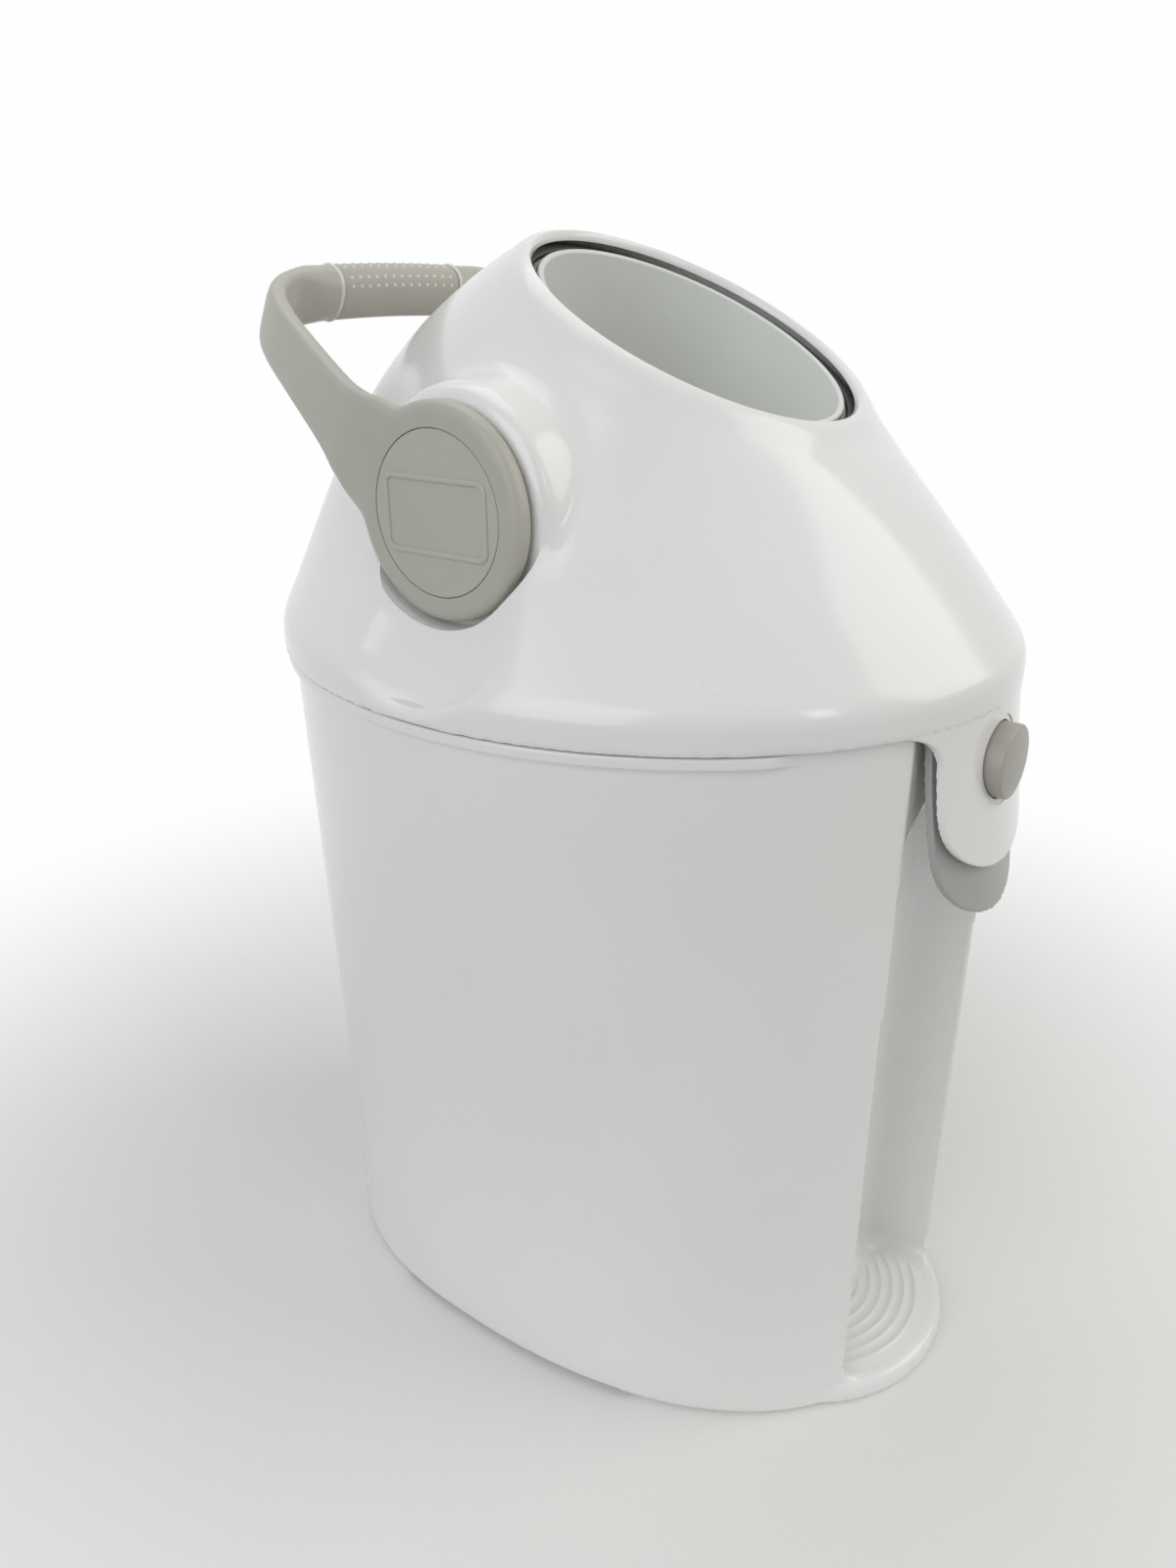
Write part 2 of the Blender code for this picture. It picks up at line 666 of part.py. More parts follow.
def make_pail():
    top = seam_height - pail_top_gap
    levels = [(0, foot_edge * 0.8), (foot_edge * 0.3, foot_edge * 0.25), (foot_edge, 0)]
    levels.append((top, 0))
    pail = place(loft("pail", [pail_oval(z, inset) for z, inset in levels]), white)
    # rolled rim that fades out before the front
    rim_top = top - seat_gap
    rim_levels = ((rim_top - ledge_height, -wall / 2), (rim_top - ledge_height, ledge_out * 0.75),
                  (rim_top - ledge_height * 0.75, ledge_out), (rim_top - ledge_height * 0.25, ledge_out),
                  (rim_top, ledge_out * 0.75), (rim_top, -wall / 2))
    rim = place(loft("pail_rim", [pail_oval(z, -out) for z, out in rim_levels[1:-1]]), cutter=True)
    front_off = box("pail_rim_front", (-lid_half_width, hub_y - lid_front - overrun, 0),
                    (lid_half_width, hub_y - ledge_front, hub_height))
    cut(rim, place(front_off, cutter=True))
    join(pail, rim)
    # shallow front recess up to the rim, and the arched alcove below it
    recess = box("pail_recess", (-alcove_half_width, hub_y - lid_front - overrun, -overrun),
                 (alcove_half_width, hub_y - lintel_setback, hub_height))
    cut(pail, place(recess, cutter=True))
    cut(pail, place(alcove("pail_alcove", 0), cutter=True))
    # foot step with grooves round its centre
    profile = [(0, 0), (step_radius - step_edge / 2, 0)]
    profile += [(step_radius, step_edge / 2)]
    profile += [(step_radius - step_edge * (1 - math.cos(math.pi / 2 * k / 3)),
                 step_height - step_edge * (1 - math.sin(math.pi / 2 * k / 3))) for k in range(4)]
    for k in reversed(range(groove_count)):
        middle = groove_first + groove_pitch * k
        profile += [(middle + groove_width / 2, step_height), (middle, step_height - groove_depth),
                    (middle - groove_width / 2, step_height)]
    profile.append((0, step_height))
    step = place(turned("pail_step", profile), cutter=True, at=(0, hub_y - step_centre, 0))
    join(pail, step)
    # inside, less the walls of recess and alcove
    inside_levels = [(floor_rise, wall + foot_edge), (floor_rise + foot_edge * 0.3, wall + foot_edge * 0.3),
                     (floor_rise + foot_edge, wall)]
    inside_levels += [(top, wall), (top + overrun, wall)]
    inside = place(loft("pail_inside", [pail_oval(z, inset) for z, inset in inside_levels]), cutter=True)
    lintel = box("pail_lintel", (-alcove_half_width - wall, hub_y - lid_front - overrun, -overrun),
                 (alcove_half_width + wall, hub_y - lintel_setback + wall, hub_height))
    cut(inside, place(lintel, cutter=True))
    cut(inside, place(alcove("pail_alcove_wall", wall), cutter=True))
    cut(pail, inside)
    # hollow underside inside the standing band, and the low arches at both sides
    under = loft("pail_underside", [pail_oval(-overrun, underside_band),
                                    pail_oval(underside_rise, underside_band)])
    cut(pail, place(under, cutter=True))
    arch = loft("pail_side_arch", [
        [Vector((x, hub_y + y, z)) for y, z in (
            (-arch_front, -overrun), (-arch_front, 0), (-arch_front + arch_ramp, underside_rise),
            (arch_back - arch_ramp, underside_rise), (arch_back, 0), (arch_back, -overrun))]
        for x in (-foot_half_width - overrun, foot_half_width + overrun)])
    cut(pail, place(arch, cutter=True))
    # hinge ears
    pin = hinge_point()
    for side in (-1, 1):
        inner = ring_knuckle + 2 * knuckle_gap + lid_knuckle
        ends = sorted((side * inner, side * (inner + pail_knuckle)))
        join(pail, eyelet("pail_ear", ends, pin.y - hinge_back - pail_top_inset - wall * 2,
                          pin.z - hinge_arm, pin.z - seat_gap))
        cut(pail, pin_hole("pail_pin_hole", ends))
    return smooth_by_angle(pail)


# Bag ring
def make_bag_ring():
    low = seam_height - pail_top_gap + seat_gap
    high = low + ring_thickness
    ring = place(loft("bag_ring", [lid_oval(low, ring_inset), lid_oval(high, ring_inset)]), ring_grey)
    collar_inset = pail_top_inset + wall + ring_collar_gap
    collar = loft("ring_collar", [lid_oval(low - ring_collar_depth, collar_inset + ring_collar_gap),
                                  lid_oval(low + seat_gap, collar_inset)])
    collar = place(collar, cutter=True)
    # the collar steps back behind the lintel
    back_off = box("ring_collar_front", (-lid_half_width, hub_y - lid_front - overrun, 0),
                   (lid_half_width, hub_y - lintel_setback + wall + ring_collar_gap, low))
    cut(collar, place(back_off, cutter=True))
    # and up over the alcove's arch
    arch_off = box("ring_collar_arch", (-alcove_half_width - 2 * wall, hub_y - lid_front, 0),
                   (alcove_half_width + 2 * wall, hub_y - alcove_depth + 2 * wall,
                    alcove_crown + wall + ring_collar_gap))
    cut(collar, place(arch_off, cutter=True))
    join(ring, collar)
    bore_inset = collar_inset + ring_collar_wall + ring_collar_gap
    bore = loft("ring_bore", [lid_oval(low - ring_collar_depth - overrun, bore_inset + ring_collar_gap),
                              lid_oval(high + overrun, bore_inset)])
    bore = place(bore, cutter=True)
    bore_end = hub_y - lintel_setback + wall + ring_collar_gap + ring_collar_wall
    bore_front = box("ring_bore_front", (-lid_half_width, hub_y - lid_front - overrun, 0),
                     (lid_half_width, bore_end, hub_height))
    cut(bore, place(bore_front, cutter=True))
    tab = tongue_sheet("ring_tab", tab_setback, tab_thickness, tab_half_width, 0, tongue_flare_height,
                       tab_length, tab_round, tab_kick, high)
    join(ring, place(tab, cutter=True))
    cut(ring, bore)
    # open notch round the latch housing
    half = bracket_half_width + ring_notch_gap
    bottom = button_height - bracket_half_height - ring_notch_gap
    notch = box("ring_notch", (-half, hub_y - lid_front - overrun, bottom),
                (half, tongue_back() + bracket_depth + ring_notch_gap, high + overrun))
    cut(ring, place(notch, cutter=True))
    pin = hinge_point()
    ends = (-ring_knuckle, ring_knuckle)
    join(ring, eyelet("ring_hinge_arm", ends, pin.y - hinge_back - ring_inset - wall,
                      low + seat_gap / 2, high - seat_gap / 2))
    cut(ring, pin_hole("ring_pin_hole", ends))
    return smooth_by_angle(ring)


# Drum carrier, gasket and seals
def make_carrier():
    low = seam_height + carrier_rise
    high = low + carrier_thickness
    inset = wall + carrier_gap
    plate = place(loft("drum_carrier", [lid_oval(low, inset), lid_oval(high, inset)]), inner_white)
    opening = math.sqrt((drum_radius + carrier_lip_gap) ** 2 - (hub_height - high) ** 2)
    lip_top = high + carrier_lip
    lip_inner = math.sqrt((drum_radius + seal_thickness + 2 * run_gap) ** 2 - (hub_height - lip_top) ** 2)
    lip = turned("carrier_lip", [(opening, low), (opening + carrier_lip_wall * 2, low),
                                 (lip_inner + carrier_lip_wall, lip_top), (lip_inner, lip_top)])
    hole = rod("carrier_hole", opening + carrier_lip_wall, overrun, round_segments)
    cut(plate, place(hole, cutter=True, at=(0, hub_y, low - overrun / 2)))
    join(plate, place(lip, cutter=True, at=(0, hub_y, 0)))
    return smooth_by_angle(plate)


def make_gasket():
    low = seam_height - pail_top_gap + 2 * seat_gap + ring_thickness
    high = seam_height + carrier_rise - seat_gap
    gasket = place(loft("lid_gasket", [lid_oval(low, gasket_inset), lid_oval(high, gasket_inset)]), seal_grey)
    bore = loft("gasket_bore", [lid_oval(low - overrun, gasket_inset + gasket_width),
                                lid_oval(high + overrun, gasket_inset + gasket_width)])
    cut(gasket, place(bore, cutter=True))
    # it stops short of the latch and of the hinge arm
    half = bracket_half_width + ring_notch_gap
    notch = box("gasket_front", (-half, hub_y - lid_front - overrun, 0),
                (half, tongue_back() + bracket_depth + ring_notch_gap, hub_height))
    cut(gasket, place(notch, cutter=True))
    return smooth_by_angle(gasket)


def make_seal(name, thickness, start, end, turn):
    inner = drum_radius + run_gap
    profile = arc(inner + thickness, start, end, 1) + arc(inner, end, start, 1)
    return smooth_by_angle(place(turned(name, profile), seal_grey, at=hub, turn=turn))


# Drum, cup, piston, axles
def bush_inner_end():
    return hub_face - hub_thickness - pocket_room - wall - boss_sleeve_depth


def make_drum_shell():
    """Ball with flat sides, turned about the hub axis: wall, thrust bosses and sockets in one."""
    half = drum_half_length
    edge = math.acos(half / drum_radius)
    inner_radius = drum_radius - drum_wall
    inner_half = half - drum_wall
    inner_edge = math.acos(inner_half / inner_radius)
    bore = axle_radius + seat_gap
    boss_end = bush_inner_end() - bush_flange_depth - 2 * seat_gap
    socket_end = half - drum_socket_depth
    outer = arc(drum_radius, edge, math.pi - edge, drum_steps)
    inner = arc(inner_radius, math.pi - inner_edge, inner_edge, drum_hollow_steps)
    profile = [(bore, boss_end), (drum_boss_radius, boss_end), (drum_boss_radius, half)]
    profile += outer
    profile += [(drum_boss_radius, -half), (drum_boss_radius, -boss_end), (bore, -boss_end),
                (bore, -socket_end), (drum_boss_radius, -socket_end), (drum_boss_radius, -inner_half)]
    profile += inner
    profile += [(drum_boss_radius, inner_half), (drum_boss_radius, socket_end), (bore, socket_end)]
    shell = place(turned("drum_shell", profile, drum_segments), inner_white, at=hub, turn=mirrored_turn(1))
    opening = rod("drum_opening", cup_radius + cup_rim + seat_gap, drum_radius + overrun, round_segments)
    cut(shell, place(opening, cutter=True, at=hub, turn=(mouth_tilt, 0, 0)))
    return smooth_by_angle(shell)


def make_drum_cup():
    outer = cup_radius + cup_wall
    rim = cup_radius + cup_rim
    floor = -cup_floor
    facet_share = math.cos(math.pi / drum_segments) * math.cos(math.pi / 2 / drum_hollow_steps)
    shell_floor = -math.sqrt(((drum_radius - drum_wall) * facet_share) ** 2 - post_radius ** 2) + seat_gap
    profile = [(0, floor), (cup_radius - cup_wall, floor), (cup_radius, floor + cup_wall),
               (cup_radius, cup_rim_top - cup_rim_height / 2), (cup_radius + cup_rim * 0.4, cup_rim_top),
               (rim, cup_rim_top - cup_rim_height / 2), (rim, cup_rim_top - cup_rim_height),
               (outer, cup_rim_top - cup_rim_height * 1.6), (outer, floor - cup_wall),
               (post_radius, floor - cup_wall), (post_radius, shell_floor), (0, shell_floor)]
    return smooth_by_angle(place(turned("drum_cup", profile), inner_white, at=hub, turn=(mouth_tilt, 0, 0)))


def make_piston():
    radius = cup_radius - piston_gap
    low = -cup_floor + seat_gap
    high = low + piston_height
    middle = low + piston_height * piston_groove_place_share
    groove = piston_groove_height / 2
    depth = piston_groove_depth
    skirt = radius - depth - piston_wall
    profile = [(0, high), (radius - piston_wall, high), (radius, high - piston_wall * 0.6),
               (radius, middle + groove), (radius - depth, middle + groove),
               (radius - depth, middle - groove), (radius, middle - groove), (radius, low + cup_wall),
               (radius - cup_wall, low), (skirt, low), (skirt, high - piston_wall), (0, high - piston_wall)]
    body = turned("piston_body", profile)
    smooth_by_angle(place(body, inner_white, at=hub, turn=(mouth_tilt, 0, 0)))
    lift = groove - seat_gap
    outer = cup_radius - seat_gap
    ring = [(radius - depth + seat_gap, middle - lift), (radius - depth + seat_gap, middle + lift),
            (outer - seat_gap, middle + lift), (outer, middle), (outer - seat_gap, middle - lift)]
    smooth_by_angle(place(turned("piston_seal", ring), seal_grey, at=hub, turn=(mouth_tilt, 0, 0)))
    disc = rod("piston_weight", skirt - weight_gap, weight_thickness, drum_segments)
    axis = Vector((0, -math.sin(mouth_tilt), math.cos(mouth_tilt)))
    seat = high - piston_wall - seat_gap - weight_thickness
    smooth_by_angle(place(disc, steel, at=hub + axis * seat, turn=(mouth_tilt, 0, 0)))


def axle_seat():
    """End of the socket in the hub disc, below the cap's recess."""
    return hub_face - cap_thickness - cap_gap - hub_web


def make_axle(name, side):
    """Axle from the drum's socket out into the hub disc."""
    start = drum_half_length - drum_socket_depth - seat_gap
    end = axle_seat() - seat_gap
    profile = [(0, start), (axle_radius - seat_gap, start), (axle_radius, start + seat_gap),
               (axle_radius, end), (0, end)]
    return smooth_by_angle(place(turned(name, profile, small_segments), warm_grey, at=hub,
                                 turn=mirrored_turn(side)))


def make_bush(name, side):
    inner = axle_radius + seat_gap
    outer = axle_radius + bush_wall
    collar = outer + bush_flange
    collar_end = bush_inner_end() - seat_gap
    start = collar_end - bush_flange_depth
    end = hub_face - hub_thickness - seat_gap
    profile = [(inner, start), (collar, start), (collar, collar_end), (outer, collar_end), (outer, end),
               (inner, end)]
    return smooth_by_angle(place(turned(name, profile, small_segments), cap_grey, at=hub,
                                 turn=mirrored_turn(side)))


# Handle
def strap_sections(shrink, only_grip=False, reach=None):
    """Sections along the U-shaped strap, in a plane through the hub axis with the grip straight
    out. Each section is a rounded oblong that turns into the oval grip."""
    middle = hub_face - hub_thickness / 2
    line = [Vector((-middle * a, handle_length * b)) for a, b in strap_line_shares]
    tall = [strap_half_height * s for s in strap_height_shares]
    line += [Vector((-p.x, p.y)) for p in reversed(line[:-1])]
    tall += tall[-2::-1]
    count = len(line)
    # a smooth line through the stations
    fine = []
    per = 2
    for i in range(count - 1):
        p0, p1, p2, p3 = (line[max(0, i - 1)], line[i], line[i + 1], line[min(count - 1, i + 2)])
        for k in range(per):
            t = k / per
            point = 0.5 * ((2 * p1) + (p2 - p0) * t + (2 * p0 - 5 * p1 + 4 * p2 - p3) * t * t
                           + (3 * p1 - p0 - 3 * p2 + p3) * t ** 3)
            fine.append((point, tall[i] + (tall[i + 1] - tall[i]) * t))
    fine.append((line[-1], tall[-1]))
    if reach is not None:
        fine = [f for f in fine if abs(f[0].x) < reach]
        edge = fine[0]
        inner = fine[1]
        slope = (edge[0] - inner[0]) / (edge[0].x - inner[0].x)
        left = (edge[0] + slope * (-reach - edge[0].x), edge[1])
        right = (Vector((-left[0].x, left[0].y)), edge[1])
        fine = [left] + fine + [right]
    rings = []
    for i, (point, half_height) in enumerate(fine):
        before = fine[max(0, i - 1)][0]
        after = fine[min(len(fine) - 1, i + 1)][0]
        along = (after - before).normalized()
        if reach is not None and i in (0, len(fine) - 1):
            along = Vector((1, 0))
        across = Vector((along.y, -along.x))
        blend = min(1, max(0, (handle_length - strap_thickness * 1.6 - abs(point.x)) / (handle_length / 4)))
        near_grip = min(1, max(0, (sleeve_half_length * 1.75 - abs(point.x)) / (sleeve_half_length * 0.6)))
        near_grip = near_grip * near_grip * (3 - 2 * near_grip) if blend else 0
        thick = strap_thickness / 2 + (grip_thickness - strap_thickness) / 2 * near_grip - shrink
        high = half_height + (grip_half_height - half_height) * near_grip - shrink
        power = strap_power + (grip_power - strap_power) * near_grip
        ring = []
        for k in range(handle_section_points):
            angle = 2 * math.pi * k / handle_section_points
            c, s = math.cos(angle), math.sin(angle)
            a = thick * math.copysign(abs(c) ** (2 / power), c)
            b = high * math.copysign(abs(s) ** (2 / power), s)
            flat = point + across * a
            ring.append(Vector((flat.x, flat.y, b)))
        rings.append(ring)
    return rings


def make_handle():
    """U-shaped strap joined to a hub disc at each end, with a slimmer seat for the sleeve."""
    handle = place(loft("handle", strap_sections(0)), warm_grey, at=hub, turn=(mouth_tilt, 0, 0))
    seat = loft("sleeve_seat_outer", strap_sections(-sleeve_wall, reach=sleeve_half_length))
    core = loft("sleeve_seat_core", strap_sections(sleeve_wall, reach=sleeve_half_length + sleeve_wall))
    seat = place(seat, cutter=True, at=hub, turn=(mouth_tilt, 0, 0))
    core = place(core, cutter=True, at=hub, turn=(mouth_tilt, 0, 0))
    cut(seat, core)
    cut(handle, seat)
    back = hub_face - hub_thickness
    sunk = hub_face - cap_thickness - cap_gap
    socket = axle_radius + seat_gap
    hollow_floor = back + hub_hollow_depth
    hollow_inner = socket + wall
    hollow_outer = hub_radius - wall
    steps = 3
    profile = [(0, sunk), (cap_radius + seat_gap, sunk), (cap_radius + seat_gap, hub_face)]
    profile += [(hub_radius - hub_edge * (1 - math.sin(math.pi / 2 * k / steps)),
                 hub_face - hub_edge * (1 - math.cos(math.pi / 2 * k / steps))) for k in range(steps + 1)]
    profile += [(hub_radius, back + seat_gap), (hub_radius - seat_gap, back), (hollow_outer, back),
                (hollow_outer, hollow_floor), (hollow_inner, hollow_floor), (hollow_inner, back),
                (socket, back), (socket, axle_seat()), (0, axle_seat())]
    for side in (-1, 1):
        # the strap ends in the disc's rim, so the disc keeps its own recesses
        cut(handle, hub_tool("strap_end", hub_radius - wall / 2, back - overrun, hub_face + overrun, 0, side))
        disc = turned("hub_disc", profile, drum_segments)
        disc = place(disc, cutter=True, at=hub, turn=mirrored_turn(side))
        for k in range(hub_ribs // 2):
            reach = hub_radius - wall / 2
            rib = box("hub_rib", (-hub_rib_width / 2, -reach, back + seat_gap),
                      (hub_rib_width / 2, reach, hollow_floor + hub_web / 2))
            about_hub = Matrix.Rotation(math.pi * k / (hub_ribs // 2), 3, "Z")
            turn = Euler(mirrored_turn(side)).to_matrix() @ about_hub
            rib = place(rib, cutter=True, at=hub, turn=turn.to_euler())
            cut(rib, hub_tool("rib_end", hollow_inner - wall / 2, back - overrun, hub_face, 0, side,
                              small_segments))
            join(disc, rib)
        join(handle, disc)
    return smooth_by_angle(handle)


def make_grip_sleeve():
    sleeve = place(loft("grip_sleeve", strap_sections(0, reach=sleeve_half_length - seat_gap)), grip_grey,
                   at=hub, turn=(mouth_tilt, 0, 0))
    core = loft("sleeve_core", strap_sections(sleeve_wall - seat_gap, reach=sleeve_half_length + sleeve_wall))
    cut(sleeve, place(core, cutter=True, at=hub, turn=(mouth_tilt, 0, 0)))
    return smooth_by_angle(sleeve)


def make_hub_cap(name, side):
    low = hub_face - cap_thickness - cap_gap + seat_gap
    high = hub_face - cap_gap + seat_gap
    edge = cap_thickness * 0.3
    profile = [(0, low), (cap_radius, low), (cap_radius, high - edge), (cap_radius - edge, high), (0, high)]
    return smooth_by_angle(place(turned(name, profile, drum_segments), cap_grey, at=hub,
                                 turn=mirrored_turn(side)))


# Button, spring and latch housing
def tongue_back(x=0):
    """Y of the tongue's inner face."""
    return lid_front_y(x, tongue_setback + tongue_thickness)


def make_button():
    """Push button with a collar behind the tongue and the latch stem. Its axis runs to the back."""
    face = -(lid_front_y(0, tongue_setback) - button_stand)
    collar_front = -(tongue_back(button_radius + button_flange) + seat_gap)
    collar_back = collar_front - button_flange_depth
    radius = button_radius
    collar = radius + button_flange
    hollow = face - button_wall - button_edge
    hook_end = collar_back - hook_reach
    profile = [(0, face + button_crown), (radius * 0.5, face + button_crown * 0.75),
               (radius - button_edge, face), (radius - button_edge * 0.3, face - button_edge * 0.3),
               (radius, face - button_edge), (radius, collar_front), (collar, collar_front),
               (collar, collar_back), (radius - button_wall, collar_back), (radius - button_wall, hollow),
               (hook_radius, hollow), (hook_radius, hook_end + hook_radius / 2),
               (hook_radius * 0.6, hook_end), (0, hook_end)]
    button = turned("button", profile, bore_segments)
    return smooth_by_angle(place(button, button_grey, at=(0, 0, button_height), turn=(math.pi / 2, 0, 0)))


def make_bracket():
    """Shallow housing clipped behind the tongue. It guides the latch stem and carries the spring."""
    front = tongue_back() + seat_gap
    back = front + bracket_depth
    half = bracket_half_width
    low = button_height - bracket_half_height
    high = button_height + bracket_half_height
    bracket = place(box("latch_bracket", (-half, front - wall, low), (half, back, high)), inner_white)
    inside = box("bracket_inside", (-half + bracket_wall, front - overrun, low + bracket_wall),
                 (half - bracket_wall, back - bracket_wall, high - bracket_wall))
    cut(bracket, place(inside, cutter=True))
    slot = rod("bracket_slot", bracket_slot_radius, overrun)
    slot_end = (0, back + overrun / 2, button_height)
    cut(bracket, place(slot, cutter=True, at=slot_end, turn=(math.pi / 2, 0, 0)))
    # its front edge follows the inside of the curved tongue
    steps = 20
    across = [half * 2 * (2 * k / steps - 1) for k in range(steps + 1)]
    curve = [(x, tongue_back(x) + seat_gap) for x in across]
    curve += [(half * 2, front - overrun), (-half * 2, front - overrun)]
    trim = loft("bracket_curve", [[Vector((x, y, z)) for x, y in curve] for z in (0, hub_height)])
    cut(bracket, place(trim, cutter=True))
    return smooth_by_angle(bracket)


def make_button_spring():
    """Coil between the button's collar and the housing."""
    collar = tongue_back(button_radius + button_flange) + seat_gap + button_flange_depth
    start = collar + seat_gap + spring_wire
    end = tongue_back() + seat_gap + bracket_depth - bracket_wall - seat_gap - spring_wire
    turn_points = 12
    count = spring_turns * turn_points
    curve = bpy.data.curves.new("button_spring", "CURVE")
    curve.dimensions = "3D"
    curve.bevel_depth = spring_wire
    curve.bevel_resolution = 1
    curve.use_fill_caps = True
    spline = curve.splines.new("POLY")
    spline.points.add(count)
    for i in range(count + 1):
        angle = 2 * math.pi * i / turn_points
        x = spring_radius * math.cos(angle)
        y = start + (end - start) * i / count
        spline.points[i].co = (x, y, button_height + spring_radius * math.sin(angle), 1)
    wire = bpy.data.objects.new("button_spring_wire", curve)
    bpy.context.scene.collection.objects.link(wire)
    graph = bpy.context.evaluated_depsgraph_get()
    mesh = bpy.data.meshes.new_from_object(wire.evaluated_get(graph))
    bm = bmesh.new()
    bm.from_mesh(mesh)
    bmesh.ops.remove_doubles(bm, verts=bm.verts, dist=weld)
    spring = from_bmesh("button_spring", bm)
    bpy.data.objects.remove(wire)
    return place(spring, steel)


# Joints' axes
def pivot(name, at, turn, nodes, parent=None):
    """Empty on a joint's axis that carries the pieces it moves."""
    empty = bpy.data.objects.new(name, None)
    parts.objects.link(empty)
    empty.empty_display_size = wall
    empty.location = at
    empty.rotation_euler = turn
    bpy.context.view_layer.update()
    if parent:
        empty.parent = parent
        empty.matrix_parent_inverse = parent.matrix_world.inverted()
    bpy.context.view_layer.update()
    for node in nodes:
        obj = bpy.data.objects[node]
        obj.parent = empty
        obj.matrix_parent_inverse = empty.matrix_world.inverted()
    return empty


def main():
    start_empty()
    make_pail()
    make_bag_ring()
    make_dome()
    make_carrier()
    make_gasket()
    make_seal("upper_drum_seal", upper_seal_thickness, upper_seal_from, upper_seal_to, (mouth_tilt, 0, 0))
    make_seal("lower_drum_seal", seal_thickness, lower_seal_from, lower_seal_to, (math.pi, 0, 0))
    make_drum_shell()
    make_drum_cup()
    make_piston()
    for label, side in (("left", -1), ("right", 1)):
        make_axle(label + "_axle", side)
        make_bush(label + "_axle_bush", side)
        make_hub_cap(label + "_hub_cap", side)
    make_handle()
    make_grip_sleeve()
    make_button()
    make_bracket()
    make_button_spring()
    make_hinge_pin()
    lid = pivot("lid_hinge_axis", hinge_point(), (0, 0, 0), [
        "lid_dome", "drum_carrier", "lid_gasket", "upper_drum_seal", "lower_drum_seal",
        "left_axle_bush", "right_axle_bush", "latch_bracket", "button_spring"])
    pivot("ring_hinge_axis", hinge_point(), (0, 0, 0), ["bag_ring"])
    drum = pivot("drum_axis", hub, (0, 0, 0), [
        "drum_shell", "drum_cup", "left_axle", "right_axle", "handle", "grip_sleeve", "left_hub_cap",
        "right_hub_cap"], lid)
    pivot("piston_axis", hub, (mouth_tilt, 0, 0), ["piston_body", "piston_seal", "piston_weight"], drum)
    pivot("button_axis", (0, tongue_back(), button_height), (0, 0, 0), ["button"], lid)
    bpy.context.view_layer.update()


main()
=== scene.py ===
# %% [markdown]
# # A nappy bin, dressed for its picture
# The solids of the bin come packed from its CAD source. They have the right places and joints, but
# plain flat facets. This lesson gives the bin its looks: smooth moulded skins with soft edges in
# place of the coarse solids that show, and a procedural finish on every piece. Everything is in
# metres, with Z up, the front towards -Y, and the left and right halves alike.

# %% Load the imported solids
import json
import math

import bmesh
import bpy
import numpy as np
from mathutils import Matrix, Vector


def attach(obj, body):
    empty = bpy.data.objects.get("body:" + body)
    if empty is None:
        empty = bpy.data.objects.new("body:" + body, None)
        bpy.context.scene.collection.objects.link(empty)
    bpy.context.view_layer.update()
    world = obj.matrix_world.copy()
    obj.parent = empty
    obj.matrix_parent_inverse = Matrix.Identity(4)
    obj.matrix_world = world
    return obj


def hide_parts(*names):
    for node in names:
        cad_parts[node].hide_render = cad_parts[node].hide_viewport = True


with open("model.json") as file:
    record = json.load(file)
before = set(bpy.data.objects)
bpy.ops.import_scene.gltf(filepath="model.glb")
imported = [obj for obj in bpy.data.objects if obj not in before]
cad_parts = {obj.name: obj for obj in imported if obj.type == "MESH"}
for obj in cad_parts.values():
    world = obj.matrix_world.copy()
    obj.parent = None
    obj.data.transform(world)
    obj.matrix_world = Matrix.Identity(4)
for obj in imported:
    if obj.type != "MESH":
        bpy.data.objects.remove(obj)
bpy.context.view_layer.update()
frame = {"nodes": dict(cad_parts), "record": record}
nodes = frame["nodes"]
scene = bpy.context.scene

# %% [markdown]
# ## The sizes that the skins share
# A skin has to lie where its solid lies, so it is made from the same few sizes: the level axis that
# the drum and handle turn on, the lid's lower edge, and the lean of the mouth. Keeping them in one
# place means that a skin and its neighbour can't drift apart.

# %% Sizes of the whole bin
HUB_Y = -0.0020
SEAM = 0.3700                           # lower edge of the lid
HUB_Z = SEAM + 0.0800
TILT = math.radians(28.25)              # lean of the mouth
HANDLE_TILT = math.radians(27.3)
WALL = 0.0030
HUB = Vector((0, HUB_Y, HUB_Z))
MOUTH_AXIS = Vector((0, -math.sin(TILT), math.cos(TILT)))
MOUTH_UP = Vector((0, math.cos(TILT), math.sin(TILT)))
PIN = Vector((0, HUB_Y + 0.2015, SEAM - 0.0020))
SIDES = (("left", -1), ("right", 1))
print("hub", tuple(round(c, 4) for c in HUB), "hinge pin", tuple(round(c, 4) for c in PIN))

# %% [markdown]
# ## The camera
# The photograph looks down on the bin from its front left corner. A camera is a place, three
# directions and a lens. The three directions are the columns of its rotation: right, up, and
# backwards, because a Blender camera looks along its own -Z. The lens is the focal length in
# pixels over the picture's long side, times the sensor's width.

# %% Camera at the photograph's viewing angle
RIGHT = Vector((0.6053, -0.7959, -0.0082)).normalized()
FORWARD = Vector((0.731, 0.56, -0.3899)).normalized()
FOCAL_PIXELS, LONG_SIDE = 1215, 1600
upward = RIGHT.cross(FORWARD).normalized()
RIGHT = FORWARD.cross(upward)
camera_data = bpy.data.cameras.new("camera")
camera_data.sensor_width = 36
camera_data.lens = camera_data.sensor_width * FOCAL_PIXELS / LONG_SIDE
camera_data.clip_start, camera_data.clip_end = 0.01, 50
camera = bpy.data.objects.new("camera", camera_data)
turn = Matrix((RIGHT, upward, -FORWARD)).transposed().to_4x4()
camera.matrix_world = Matrix.Translation((-0.4843, -0.3426 + HUB_Y, 0.5367)) @ turn
scene.collection.objects.link(camera)
scene.camera = camera
